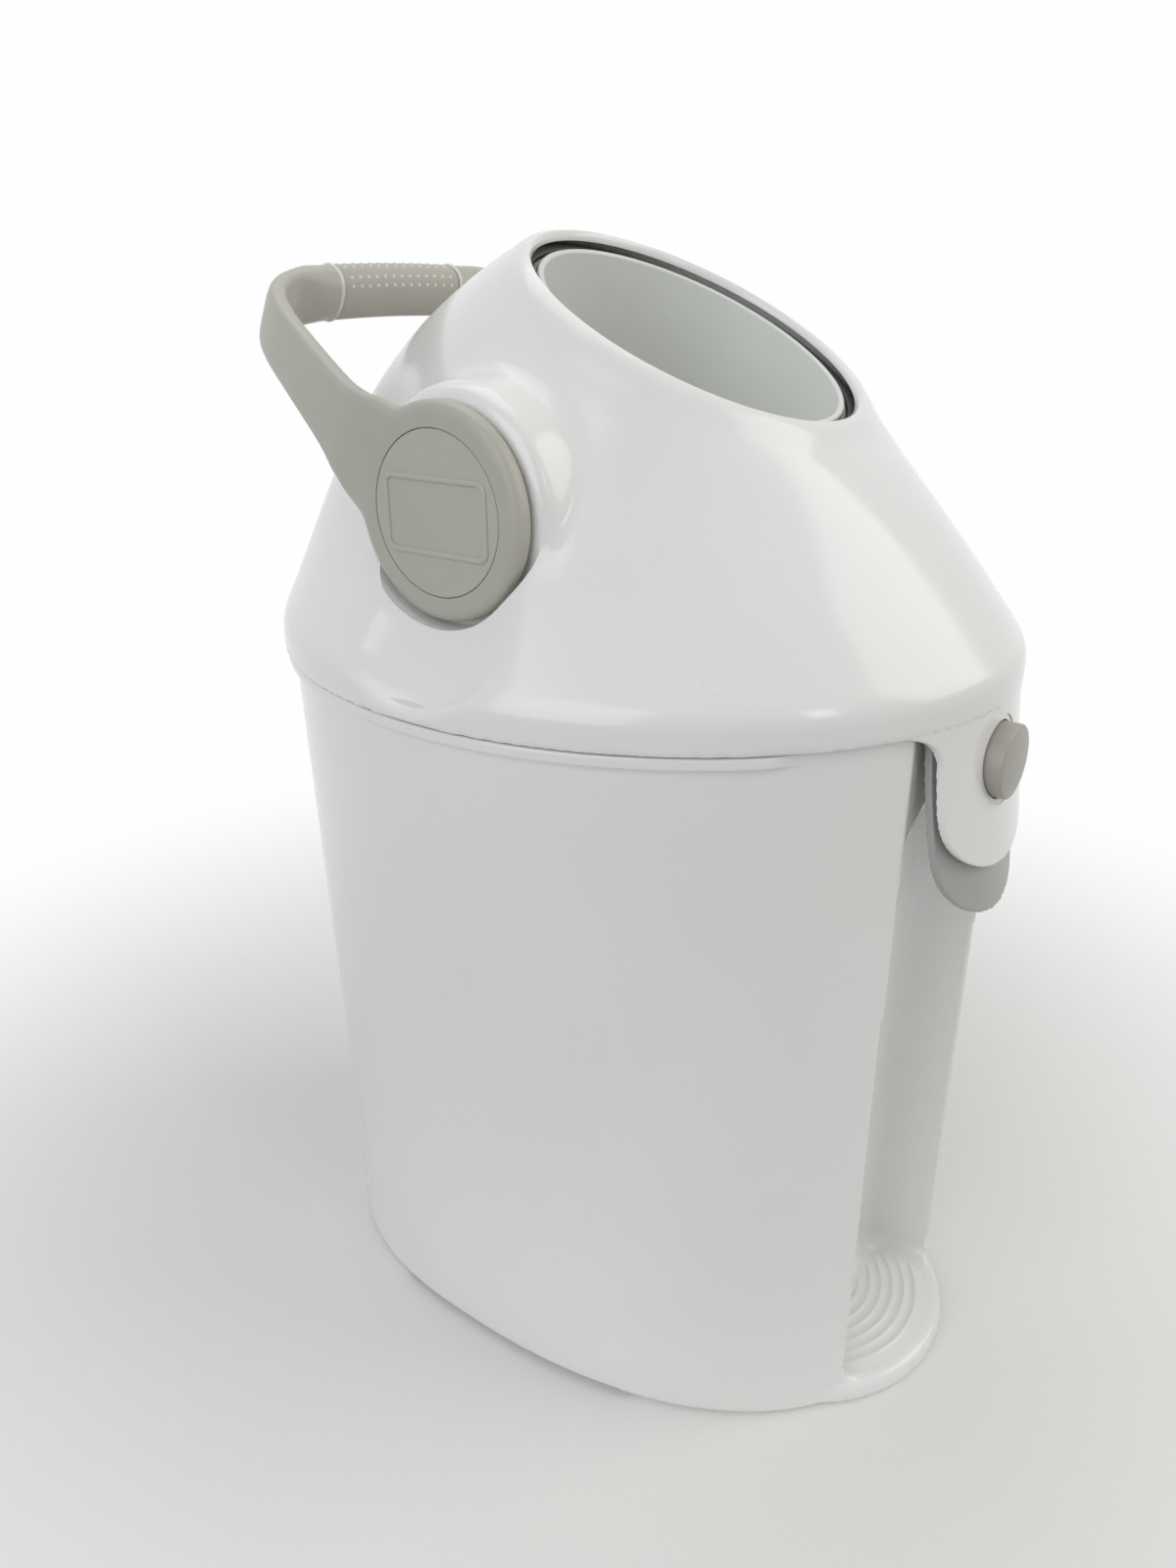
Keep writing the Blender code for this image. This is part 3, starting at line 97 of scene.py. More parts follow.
print("lens", round(camera_data.lens, 2), "mm")

# %% [markdown]
# ## Shader maths as plain sums
# A procedural finish is arithmetic on noise. Wiring that by hand takes many Math nodes, so a small
# class wraps one output socket and overloads the operators: `1 - mask * 0.3` adds the nodes it
# needs. Any other node comes from one method that takes the node's type, its settings and its
# sockets. Colours are blended with Mix nodes, because a Math node would turn them grey.


# %% One wrapped socket, one way to add a node
class Wire:
    """An output socket of a finish's nodes, to be used in sums."""

    def __init__(self, tree, socket):
        self.tree, self.socket = tree, socket

    def node(self, kind, settings=None, sockets=None, out=0):
        """Add a node: its settings first, then the values or links of its sockets."""
        made = self.tree.nodes.new(kind)
        for name, value in (settings or {}).items():
            if name == "ramp":
                stops = made.color_ramp.elements
                while len(stops) < len(value):
                    stops.new(0.5)
                for stop, (place, colour) in zip(stops, value):
                    stop.position, stop.color = place, colour
            else:
                setattr(made, name, value)
        for name, value in (sockets or {}).items():
            if isinstance(value, Wire):
                self.tree.links.new(value.socket, made.inputs[name])
            elif value is not None:
                made.inputs[name].default_value = value
        return Wire(self.tree, made.outputs[out])

    def sum(self, operation, other=None, flip=False):
        """A Math node, or a Vector Math node where this socket is a vector."""
        first, second = (other, self) if flip else (self, other)
        if self.socket.type == "VECTOR":
            if operation == "MULTIPLY" and not isinstance(other, (Wire, tuple)):
                return self.node("ShaderNodeVectorMath", {"operation": "SCALE"}, {0: self, "Scale": other})
            return self.node("ShaderNodeVectorMath", {"operation": operation}, {0: first, 1: second})
        return self.node("ShaderNodeMath", {"operation": operation}, {0: first, 1: second})

    def __add__(self, other):
        return self.sum("ADD", other)

    def __sub__(self, other):
        return self.sum("SUBTRACT", other)

    def __rsub__(self, other):
        return self.sum("SUBTRACT", other, flip=True)

    def __mul__(self, other):
        return self.sum("MULTIPLY", other)

    def __truediv__(self, other):
        return self.sum("DIVIDE", other)

    def __pow__(self, other):
        return self.sum("POWER", other)

    __radd__, __rmul__ = __add__, __mul__

    def step(self, low, high):
        """0 below low, 1 above high and a soft slope between."""
        return self.node("ShaderNodeMapRange", {"interpolation_type": "SMOOTHSTEP"},
                         {"Value": self, "From Min": low, "From Max": high})

    def blend(self, first, second):
        """Colour that goes from first to second as this mask goes from 0 to 1."""
        first, second = ((*c, 1) if isinstance(c, tuple) and len(c) == 3 else c for c in (first, second))
        return self.node("ShaderNodeMix", {"data_type": "RGBA"}, {0: self, 6: first, 7: second}, 2)


class Finish:
    """A material with its point in space, its noises and its Principled shader."""

    def __init__(self, name):
        self.material = bpy.data.materials.new(name)
        self.material.use_nodes = True
        self.tree = self.material.node_tree
        self.shader = self.tree.nodes["Principled BSDF"]
        self.root = Wire(self.tree, None)
        self.point = self.root.node("ShaderNodeTexCoord", out="Object")

    def noise(self, scale, detail=2, roughness=0.5, stretch=None):
        point = self.point * stretch if stretch else self.point
        return self.root.node("ShaderNodeTexNoise", {"noise_dimensions": "3D"},
                              {"Vector": point, "Scale": scale, "Detail": detail,
                               "Roughness": roughness}, "Fac")

    def cells(self, scale, out="Distance"):
        return self.root.node("ShaderNodeTexVoronoi", {"feature": "F1"},
                              {"Vector": self.point, "Scale": scale}, out)

    def bump(self, height, distance, strength=1, under=None):
        return self.root.node("ShaderNodeBump", None, {"Height": height, "Distance": distance,
                                                       "Strength": strength, "Normal": under})

    def shade(self, **sockets):
        """Set the shader's sockets, by their names with _ for each space."""
        for name, value in sockets.items():
            socket = self.shader.inputs[name.replace("_", " ")]
            if isinstance(value, Wire):
                self.tree.links.new(value.socket, socket)
            else:
                socket.default_value = (*value, 1) if isinstance(value, tuple) else value
        return self.material


print("shader helpers ready")

# %% [markdown]
# ## Glossy white plastic
# The pail and dome are moulded in shiny white plastic. Up close such a skin isn't flat: the melt
# leaves a very faint waviness, wiping leaves hazy patches, and years of use leave fine short
# scratches and a little grime. The waviness and scratches go into the bump, the haze into the
# roughness, and the grime only just into the colour.


# %% White shell finish
def white_finish(name, tone, gloss, scratch_depth=0.000012):
    finish = Finish(name)
    warm = finish.noise(6, 3).step(0.35, 0.65)
    grime = finish.noise(38, 5, 0.65).step(0.62, 0.80)
    specks = 1 - finish.cells(170).step(0.03, 0.085)
    sparse = finish.noise(24, 2).step(0.60, 0.66)
    colour = warm.blend(tone, tuple(c * f for c, f in zip(tone, (0.985, 0.978, 0.962))))
    colour = (grime * 0.10).blend(colour, (0.62, 0.60, 0.55))
    colour = (specks * sparse * 0.35).blend(colour, (0.42, 0.40, 0.36))
    haze = finish.noise(11, 4, 0.6).step(0.38, 0.72)
    lines = finish.noise(90, 3, 0.6, (1.0, 9.0, 1.4)).step(0.66, 0.72)
    cross = finish.noise(70, 3, 0.6, (8.0, 1.0, 5.0)).step(0.68, 0.73)
    scratches = (lines + cross) * finish.noise(7, 2).step(0.46, 0.62)
    waves = finish.noise(55, 1)
    skin = finish.bump(waves, 0.00010, 0.35)
    skin = finish.bump(1 - scratches, scratch_depth, 0.6, skin)
    skin = finish.bump(finish.noise(1500, 2), 0.000010, 0.5, skin)
    return finish.shade(Base_Color=colour, Roughness=gloss + haze * 0.07 + scratches * 0.10 + grime * 0.08,
                        Normal=skin, IOR=1.49, Coat_Weight=0.10, Coat_Roughness=0.06)


shell_white = white_finish("gloss_white_plastic", (0.86, 0.86, 0.85), 0.16)
print("finish", shell_white.name)

# %% [markdown]
# ## Satin plastics and rubber
# The handle, the button and the pull tab are coloured through and textured in the mould: a fine
# spark-eroded grain that breaks the reflection up into a satin sheen. A noise far finer than the
# piece makes the grain, and a slow one makes the slight unevenness of the pigment. The grain's
# depth and the roughness tell handle plastic, inner plastic and rubber apart.


# %% Satin finish
def satin_finish(name, tone, roughness, grain=1700, depth=0.000030, mottle=0.05, scuffs=0.3, **extra):
    finish = Finish(name)
    cloud = finish.noise(14, 4, 0.6).step(0.3, 0.7)
    fine = finish.noise(420, 3, 0.7)
    darker = tuple(c * (1 - mottle) for c in tone)
    colour = cloud.blend(tone, darker)
    colour = (fine.step(0.55, 0.75) * 0.25).blend(colour, tuple(c * 0.90 for c in tone))
    rubs = finish.noise(60, 4, 0.7, (1.0, 3.0, 1.0)).step(0.63, 0.70) * finish.noise(13, 2).step(0.5, 0.62)
    colour = (rubs * scuffs).blend(colour, tuple(min(1, c * 1.22 + 0.02) for c in tone))
    skin = finish.bump(finish.noise(90, 1), 0.00006, 0.3)
    skin = finish.bump(finish.noise(grain, 3, 0.6), depth, 0.8, skin)
    return finish.shade(Base_Color=colour, Roughness=roughness + cloud * 0.05 + rubs * 0.12,
                        Normal=skin, **extra)


inner_white = satin_finish("inner_white_plastic", (0.76, 0.775, 0.74), 0.34, mottle=0.03, scuffs=0.2)
warm_grey = satin_finish("warm_grey_plastic", (0.475, 0.465, 0.405), 0.36)
cap_grey = satin_finish("cap_grey_plastic", (0.50, 0.49, 0.435), 0.40, grain=1300, depth=0.000045)
button_grey = satin_finish("button_grey_plastic", (0.40, 0.385, 0.34), 0.38)
# The grey of the bag ring and its pull tab is painted darker than the plastic's own tone: painted shade,
# because the tab's face lies in shade.
ring_grey = satin_finish("ring_grey_plastic", (0.40, 0.405, 0.385), 0.36)
grip_rubber = satin_finish("grip_grey_rubber", (0.47, 0.455, 0.40), 0.58, grain=2300, depth=0.00005,
                           mottle=0.08, scuffs=0.15, Sheen_Weight=0.12, Sheen_Roughness=0.5)
seal_rubber = satin_finish("seal_grey_rubber", (0.075, 0.083, 0.079), 0.62, grain=2600, depth=0.00005,
                           mottle=0.2)
print("satin finishes ready")

# %% [markdown]
# ## Zinc-plated steel
# The hinge pin, the screws, the spring and the piston's weight are plain steel with a zinc coat. It
# is a metal, so its colour is the colour of its reflection. Fine drawn lines along the part and a
# cloudy bloom on the zinc give it away.


# %% Steel finish
def steel_finish(name):
    finish = Finish(name)
    bloom = finish.noise(70, 4, 0.7).step(0.35, 0.7)
    drawn = finish.noise(900, 2, 0.5, (0.05, 1.0, 1.0))
    colour = bloom.blend((0.62, 0.62, 0.61), (0.50, 0.51, 0.52))
    skin = finish.bump(drawn, 0.00002, 0.6)
    return finish.shade(Base_Color=colour, Metallic=1.0, Roughness=0.26 + bloom * 0.16 + drawn * 0.06,
                        Normal=skin)


steel = steel_finish("zinc_steel")
finish_of = {"gloss_white_plastic": shell_white, "inner_white_plastic": inner_white,
             "warm_grey_plastic": warm_grey, "cap_grey_plastic": cap_grey, "grip_grey_rubber": grip_rubber,
             "button_grey_plastic": button_grey, "ring_grey_plastic": ring_grey,
             "seal_grey_rubber": seal_rubber, "steel": steel}
print("finish", steel.name)

# %% [markdown]
# ## Small tools for skins
# A moulded skin is lofted through rings of points or turned on an axis. Soft edges where two forms
# meet come from a voxel remesh, which makes an even net over any union, followed by a relaxing
# pass that pulls each point towards the mean of its neighbours. Many passes in one place draw a
# fillet there, and a few everywhere round off the edges as a mould does.


# %% Mesh helpers
def shown(name, mesh):
    obj = bpy.data.objects.new(name, mesh)
    scene.collection.objects.link(obj)
    return obj


def mesh_of(name, points, faces):
    mesh = bpy.data.meshes.new(name)
    mesh.from_pydata([tuple(p) for p in points], [], faces)
    mesh.update()
    return shown(name, mesh)


def skin(name, rings, capped=True):
    """Loft through rings with the same number of points, in triangles, which are always flat."""
    count = len(rings[0])
    points = [p for ring in rings for p in ring]
    faces = []
    for r in range(len(rings) - 1):
        a, b = r * count, (r + 1) * count
        for i in range(count):
            j = (i + 1) % count
            faces += [(a + i, a + j, b + j), (a + i, b + j, b + i)]
    if capped:
        faces.append(tuple(range(count))[::-1])
        faces.append(tuple(range(len(points) - count, len(points))))
    obj = mesh_of(name, points, faces)
    return outward(obj)


def outward(obj):
    bm = bmesh.new()
    bm.from_mesh(obj.data)
    bmesh.ops.remove_doubles(bm, verts=bm.verts, dist=1e-6)
    bmesh.ops.recalc_face_normals(bm, faces=bm.faces)
    bm.to_mesh(obj.data)
    bm.free()
    return obj


def spun(name, profile, matrix, steps=128):
    """Turn a profile of (radius, height) points about Z. Its ends may lie on the axis."""
    rings = []
    for k in range(steps):
        angle = 2 * math.pi * k / steps
        rings.append([Vector((r * math.cos(angle), r * math.sin(angle), h)) for r, h in profile])
    count = len(profile)
    closed = profile[0][0] > 0
    faces = []
    for k in range(steps):
        a, b = k * count, (k + 1) % steps * count
        for i in range(count if closed else count - 1):
            j = (i + 1) % count
            faces.append((a + i, a + j, b + j, b + i))
    obj = mesh_of(name, [matrix @ p for ring in rings for p in ring], faces)
    return outward(obj)


def settle(obj):
    """Make the modified shape the real one."""
    bpy.context.view_layer.update()
    graph = bpy.context.evaluated_depsgraph_get()
    mesh = bpy.data.meshes.new_from_object(obj.evaluated_get(graph))
    obj.modifiers.clear()
    obj.data = mesh
    return obj


def carve(obj, tool, operation="DIFFERENCE"):
    """Cut or join with a tool, which is then thrown away."""
    mod = obj.modifiers.new("carve", "BOOLEAN")
    mod.operation, mod.solver, mod.object = operation, "EXACT", tool
    settle(obj)
    bpy.data.objects.remove(tool, do_unlink=True)
    return obj


def even(obj, voxel):
    mod = obj.modifiers.new("even", "REMESH")
    mod.mode, mod.voxel_size, mod.use_smooth_shade = "VOXEL", voxel, True
    return settle(obj)


def relax(obj, passes, weight=None, swell=-0.53):
    """Pull each point towards the mean of its neighbours, then let the whole swell back a little."""
    mesh = obj.data
    count = len(mesh.vertices)
    co = np.empty(count * 3)
    mesh.vertices.foreach_get("co", co)
    co = co.reshape(-1, 3)
    ends = np.empty(len(mesh.edges) * 2, dtype=np.int64)
    mesh.edges.foreach_get("vertices", ends)
    a, b = ends[0::2], ends[1::2]
    degree = np.maximum(np.bincount(ends, minlength=count), 1)
    share = np.ones(count) if weight is None else weight(co)
    for k in range(passes):
        pull = 0.5 if k % 2 == 0 or swell is None else swell
        for axis in range(3):
            line = co[:, axis]
            mean = (np.bincount(a, line[b], count) + np.bincount(b, line[a], count)) / degree
            co[:, axis] = line + pull * share * (mean - line)
    mesh.vertices.foreach_set("co", co.ravel())
    mesh.update()
    return obj


def smooth(obj, angle=35):
    obj.data.shade_smooth()
    obj.data.set_sharp_from_angle(angle=math.radians(angle))
    return obj


def dress(obj, body, slot, *stands_for, finish=None):
    """Give a finished piece its material, chosen by its slot, and its body, and hide the solids it stands
    for.
    """
    obj.data.materials.clear()
    obj.data.materials.append(finish or finish_of[slot])
    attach(obj, body)
    if stands_for:
        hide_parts(*stands_for)
    print(obj.name, len(obj.data.vertices), "points")
    return obj


def about(direction, at=HUB):
    """Matrix that lays local Z along a direction."""
    return Matrix.Translation(at) @ Vector(direction).to_track_quat("Z", "Y").to_matrix().to_4x4()


def rounding(radius, start, end, steps, centre):
    """Points of an arc in a profile, with angles in degrees from the radius axis."""
    angles = [math.radians(start + (end - start) * i / steps) for i in range(steps + 1)]
    return [(centre[0] + radius * math.cos(a), centre[1] + radius * math.sin(a)) for a in angles]


print("mesh helpers ready")

# %% [markdown]
# ## Outlines round the bin
# Seen from above the bin is a superellipse: an ellipse whose power is a little off 2, so that its
# sides are fuller. The front and back halves have their own reach and power. Every ring of the
# pail and of the lid is one of these, drawn in by an inset where a wall or a rounding needs it.

# %% Outline helpers
ROUND = 220                             # points of an outline
RIM_INSET = 0.0045                      # how far the pail's rim lies inside the lid's edge


def bulge(value, power):
    """A sine or cosine, pushed out for a superellipse of this power."""
    return math.copysign(abs(value) ** (2 / power), value)


def outline(half_width, front, back, centre, front_power, back_power, z, inset=0, count=ROUND):
    points = []
    for i in range(count):
        angle = 2 * math.pi * i / count
        c, s = math.cos(angle), math.sin(angle)
        power = back_power if s > 0 else front_power
        x = (half_width - inset) * bulge(c, power)
        reach = (back if s > 0 else front) - inset
        points.append(Vector((x, HUB_Y + centre + reach * bulge(s, power), z)))
    return points


LID = dict(half_width=0.1650, front=0.1870, back=0.1965, centre=-0.0070,
           front_power=1.95, back_power=1.95)
FOOT = dict(half_width=0.1310, front=0.1996, back=0.1510, centre=0.0120,
            front_power=2.20, back_power=2.60)


def lid_outline(z, inset=0):
    return outline(z=z, inset=inset, **LID)


def lid_front(x, inset=0):
    """Y of the lid's front face at a given X."""
    share = min(1, abs(x) / (LID["half_width"] - inset))
    power = LID["front_power"]
    return HUB_Y + LID["centre"] - (LID["front"] - inset) * (1 - share ** power) ** (1 / power)


def pail_outline(z, inset=0):
    share = min(1, max(0, z / (SEAM - 0.0005)))
    foot, rim = outline(z=z, inset=inset, **FOOT), lid_outline(z, RIM_INSET + inset)
    return [a.lerp(b, share) for a, b in zip(foot, rim)]


def loft(name, outline_at, *bands):
    """Skin through outlines of the lid or the pail, each given as a height and an inset."""
    return skin(name, [outline_at(z, inset) for z, inset in bands])


print("lid outline spans", round(lid_outline(0)[ROUND // 4].y - lid_outline(0)[3 * ROUND // 4].y, 4), "m")

# %% [markdown]
# ## Dome
# The dome is one moulding: a skirt, a rounded shoulder, a swelling slope up to the tilted mouth, a
# rolled lip and a round boss at each side for the handle's hubs. Its slope is a curve from the
# shoulder to the crown circle, one for each point of the outline. A Boolean alone would leave hard
# creases where boss and lip meet the slope, but the real moulding flows. So the forms are joined,
# a shallow dish is cut round each hub, and the whole is remeshed evenly and relaxed, most of all
# round the bosses and the lip. The hubs' pockets are cut after that, so that their edges stay crisp.

# %% Dome skin
POCKET_FLOOR, POCKET_RADIUS = 0.1265, 0.0470
CROWN_RADIUS, CROWN_HEIGHT = 0.0850, 0.0768     # circle round the mouth's axis that the slope ends on
SHOULDER, SHOULDER_ROUND = 0.0140, 0.0060       # its height over the seam, and how far it is rounded
DRUM_ROOM = 0.1060                              # radius round the hub that stays free for the drum
BOSS_FOOT, BOSS_RADIUS, BORE_RADIUS = 0.0765, 0.0545, 0.0148
LIP_OUTER = (0.0885, 0.0745)                    # radius and height of the crease below the lip
LIP_CENTRE, LIP_TUBE, MOUTH = 0.0752, 0.0042, 0.0793
DISH = ((0, 0.1385), (0.0490, 0.1385), (0.0700, 0.1530), (0.0900, 0.1900), (0, 0.1900))


def dome_rings(inset, steps):
    """Rings from the lid's edge up to the crown circle, on the outside or drawn in by the wall."""
    corners = lid_outline(SEAM + SHOULDER - inset * math.tan(math.radians(22.5)), inset)
    crown_r, crown_h = CROWN_RADIUS - 0.75 * inset, CROWN_HEIGHT - 0.65 * inset
    clear, soft = DRUM_ROOM + (0 if inset else WALL), 0.0100
    lines = []
    for i, corner in enumerate(corners):
        angle = 2 * math.pi * i / ROUND
        s = math.sin(angle)
        crown = HUB + crown_h * MOUTH_AXIS + crown_r * (Vector((math.cos(angle), 0, 0)) + s * MOUTH_UP)
        swell = -0.0025 + (0.0065 * abs(s) ** 3.4 if s < 0 else 0.0380 * abs(s) ** 4.8)
        chord = crown - corner
        out = Vector((corner.x, corner.y - HUB_Y, 0)).normalized()
        out = (out - out.dot(chord) / chord.length_squared * chord).normalized()
        bend = (corner + crown) / 2 + 2 * swell * out
        start = SHOULDER_ROUND / chord.length

        def slope(t):
            return (1 - t) ** 2 * corner + 2 * t * (1 - t) * bend + t * t * crown

        low = corner - Vector((0, 0, SHOULDER_ROUND))
        line = [Vector((corner.x, corner.y, SEAM - (0.02 if inset else 0)))]
        line += [(1 - t) ** 2 * low + 2 * t * (1 - t) * corner + t * t * slope(start)
                 for t in (k / 6 for k in range(6))]
        for k in range(steps + 1):
            out = slope(start + (1 - start) * k / steps) - HUB
            overlap = max(0, soft - abs(out.length - clear))
            line.append(HUB + out * (max(out.length, clear) + overlap ** 2 / (4 * soft)) / out.length)
        lines.append(line)
    return [[line[k] for line in lines] for k in range(len(lines[0]))]


def across(name, radius, start, end, side, tip=None, steps=96):
    """Cylinder or cone on the hub axis, from start to end out from the middle."""
    tip = radius if tip is None else tip
    return spun(name, [(0, start), (radius, start), (tip, end), (0, end)], about((side, 0, 0)), steps)


def near(value, full, none):
    """Weight 1 at full and 0 at none, with a soft slope between."""
    t = np.clip((value - none) / (full - none), 0, 1)
    return t * t * (3 - 2 * t)


def boss_weight(co):
    from_axis = np.hypot(co[:, 1] - HUB_Y, co[:, 2] - HUB_Z)
    out = np.abs(co[:, 0])
    return near(from_axis, 0.066, 0.088) * near(out, 0.150, 0.165) * near(out, 0.080, 0.070)


def lip_weight(co):
    """Strongest on the crease below the lip's outer edge."""
    rel = co - np.array(HUB)
    high = rel @ np.array(MOUTH_AXIS)
    flat = np.linalg.norm(rel - high[:, None] * np.array(MOUTH_AXIS), axis=1)
    return near(np.hypot(flat - LIP_OUTER[0], high - LIP_OUTER[1]), 0.003, 0.016)


dome = skin("dome_skin", dome_rings(0, 30))
lip = [(0, LIP_CENTRE - LIP_TUBE)] + rounding(LIP_TUBE, -90, 90, 10, (MOUTH + LIP_TUBE, LIP_CENTRE))
lip.append((0, LIP_CENTRE + LIP_TUBE))
carve(dome, spun("lip", lip, about(MOUTH_AXIS)), "UNION")
for side in (-1, 1):
    boss = across("boss", BOSS_RADIUS, BOSS_FOOT, POCKET_FLOOR + 0.0006, side, POCKET_RADIUS + WALL)
    carve(dome, boss, "UNION")
    carve(dome, spun("dish", DISH, about((side, 0, 0)), 120))
even(dome, voxel=0.0019)
relax(dome, 10)
relax(dome, 30, boss_weight, 0.5)
relax(dome, 40, lip_weight, 0.5)
for side in (-1, 1):
    carve(dome, across("pocket", POCKET_RADIUS, POCKET_FLOOR, 0.20, side, steps=160))
print("outer skin", len(dome.data.vertices), "points")

# %% [markdown]
# The inside is a second set of the same rings, one wall further in. It keeps the wall round each
# pocket, the sleeve that holds the axle's bush, and the four posts that carry the plate under the
# drum. Where the wall ends at the mouth, a turned cutter leaves the lip's rolled inner edge.

# %% Inside of the dome, mouth and bores
inner = even(skin("dome_inner", dome_rings(WALL, 12)), voxel=0.0024)
relax(inner, 4)
for side in (-1, 1):
    core = across("core", 0.0525, 0.0565, POCKET_FLOOR - WALL + 0.0006, side, POCKET_RADIUS + 0.0006)
    carve(inner, core, "UNION")
    hollow = [(0, POCKET_FLOOR - WALL), (POCKET_RADIUS + WALL, POCKET_FLOOR - WALL),
              (POCKET_RADIUS + WALL, DISH[1][1] - WALL)] + [(r, x - WALL) for r, x in DISH[2:]]
    carve(inner, spun("pocket_wall", hollow, about((side, 0, 0)), 144))
    carve(inner, across("sleeve", 0.0177, 0.1095, POCKET_FLOOR, side))
POST_X, POST_FRONT, POST_BACK, POST_RADIUS, POST_FOOT = 0.108, -0.095, 0.100, 0.0052, 0.3773
post = [(0, POST_FOOT), (POST_RADIUS, POST_FOOT), (POST_RADIUS, 0.46), (0, 0.46)]
for x in (-POST_X, POST_X):
    for y in (HUB_Y + POST_FRONT, HUB_Y + POST_BACK):
        carve(inner, spun("post", post, Matrix.Translation((x, y, 0)), 32))
carve(dome, inner)
mouth = [(0, 0.05), (MOUTH, 0.05)] + rounding(LIP_TUBE, 180, 100, 8, (MOUTH + LIP_TUBE, LIP_CENTRE))
mouth += [(MOUTH + LIP_TUBE, LIP_CENTRE + LIP_TUBE + 0.003), (0, LIP_CENTRE + LIP_TUBE + 0.003)]
carve(dome, spun("mouth", mouth, about(MOUTH_AXIS), 160))
for side in (-1, 1):
    carve(dome, across("bore", BORE_RADIUS, 0.09, 0.15, side))
dress(smooth(dome), "lid", "gloss_white_plastic", "lid_dome")

# %% [markdown]
# ## Tongue below the dome
# At the front the lid's edge runs down into a tongue that carries the push button. It follows the
# curve of the lid, widens into the edge above and ends in a half round. It leans forward more and
# more, so that a finger can lift the lid there. It is a sheet between two faces, remeshed finely so
# that its edge comes out round. The button's hole is cut afterwards, and so it stays crisp. A ring
# from a second such sheet, a little further back, is the seat that the button stands in.


# %% Tongue skin
def sheet(name, setback, thickness, half_width, flare, flare_height, length, round_height, lean, top):
    """Curved sheet that hangs from the lid's edge. lean is how far forward its lower end lies."""
    rows, columns = 56, 44
    straight = length - round_height
    faces, points = [], []
    for layer in (setback, setback + thickness):
        for r in range(rows + 1):
            t = r / rows
            height = top - SEAM - (top - SEAM + length) * (1 - (1 - t) ** 1.6)
            depth = -height
            width = half_width
            if flare and depth < flare_height:
                reach = 1 - max(0, depth) / flare_height
                width += flare * (1 - math.sqrt(max(0, 1 - reach ** 2)))
            if depth > straight:
                past = min(0.9985, (depth - straight) / round_height)
                width = half_width * math.sqrt(1 - past ** 2.3)
            forward = lean * max(0, depth / length) ** 1.5
            for k in range(columns + 1):
                x = width * math.sin(math.pi / 2 * (2 * k / columns - 1))
                points.append((x, lid_front(x, layer) - forward, SEAM + height))
    size = (rows + 1) * (columns + 1)

    def at(layer, r, k):
        return layer * size + r * (columns + 1) + k

    for r in range(rows):
        for k in range(columns):
            faces.append((at(0, r, k), at(0, r, k + 1), at(0, r + 1, k + 1), at(0, r + 1, k)))
            faces.append((at(1, r, k), at(1, r + 1, k), at(1, r + 1, k + 1), at(1, r, k + 1)))
        for k in (0, columns):
            faces.append((at(0, r, k), at(0, r + 1, k), at(1, r + 1, k), at(1, r, k)))
    for r in (0, rows):
        for k in range(columns):
            faces.append((at(0, r, k), at(0, r, k + 1), at(1, r, k + 1), at(1, r, k)))
    return outward(mesh_of(name, points, faces))


def front_tool(name, profile, steps=96):
    """Turned on the button's axis, with heights counted towards the front."""
    return spun(name, profile, about((0, -1, 0), Vector((0, 0, BUTTON_Z))), steps)


BUTTON_Z = SEAM - 0.0242
TONGUE_SETBACK = 0.0004
HOLE_RADIUS, SEAT_INNER, SEAT_OUTER = 0.0197, 0.0173, 0.0202
TOOL_BACK, TOOL_FRONT = 0.17, 0.21      # from behind the tongue to in front of it
FRONT_VOXEL, FRONT_PASSES = 0.00065, 24


def tongue_sheet(name, setback, thickness):
    return sheet(name, setback, thickness, half_width=0.0450, flare=0.0230, flare_height=0.0165,
                 length=0.0695, round_height=0.0340, lean=0.0086, top=SEAM + 0.0030)


tongue = tongue_sheet("dome_tongue", TONGUE_SETBACK, 0.0032)
relax(even(tongue, FRONT_VOXEL), FRONT_PASSES)
hole = [(0, TOOL_BACK), (HOLE_RADIUS, TOOL_BACK), (HOLE_RADIUS, TOOL_FRONT), (0, TOOL_FRONT)]
carve(tongue, front_tool("hole", hole))
seat = tongue_sheet("button_seat", TONGUE_SETBACK + 0.0007, 0.0022)
relax(even(seat, FRONT_VOXEL), FRONT_PASSES)
tube = [(SEAT_INNER, TOOL_BACK), (SEAT_OUTER, TOOL_BACK), (SEAT_OUTER, TOOL_FRONT), (SEAT_INNER, TOOL_FRONT)]
carve(seat, front_tool("tube", tube), "INTERSECT")
dress(smooth(seat), "lid", "gloss_white_plastic", "lid_dome")
dress(smooth(tongue), "lid", "gloss_white_plastic", "lid_dome")


# %% [markdown]
# ## Hinge arms
# Dome, bag ring and pail turn on one steel pin at the back. Each has arms that end in a round
# knuckle, and the three sit side by side on the pin. An arm is its side view, pushed along X.

# %% Hinge arms of dome and pail
KNUCKLE, PIN_BORE = 0.0052, 0.00215
RING_ARM, DOME_ARM, PAIL_EAR = 0.0170, (0.0176, 0.0286), (0.0292, 0.0392)   # their reach along the pin


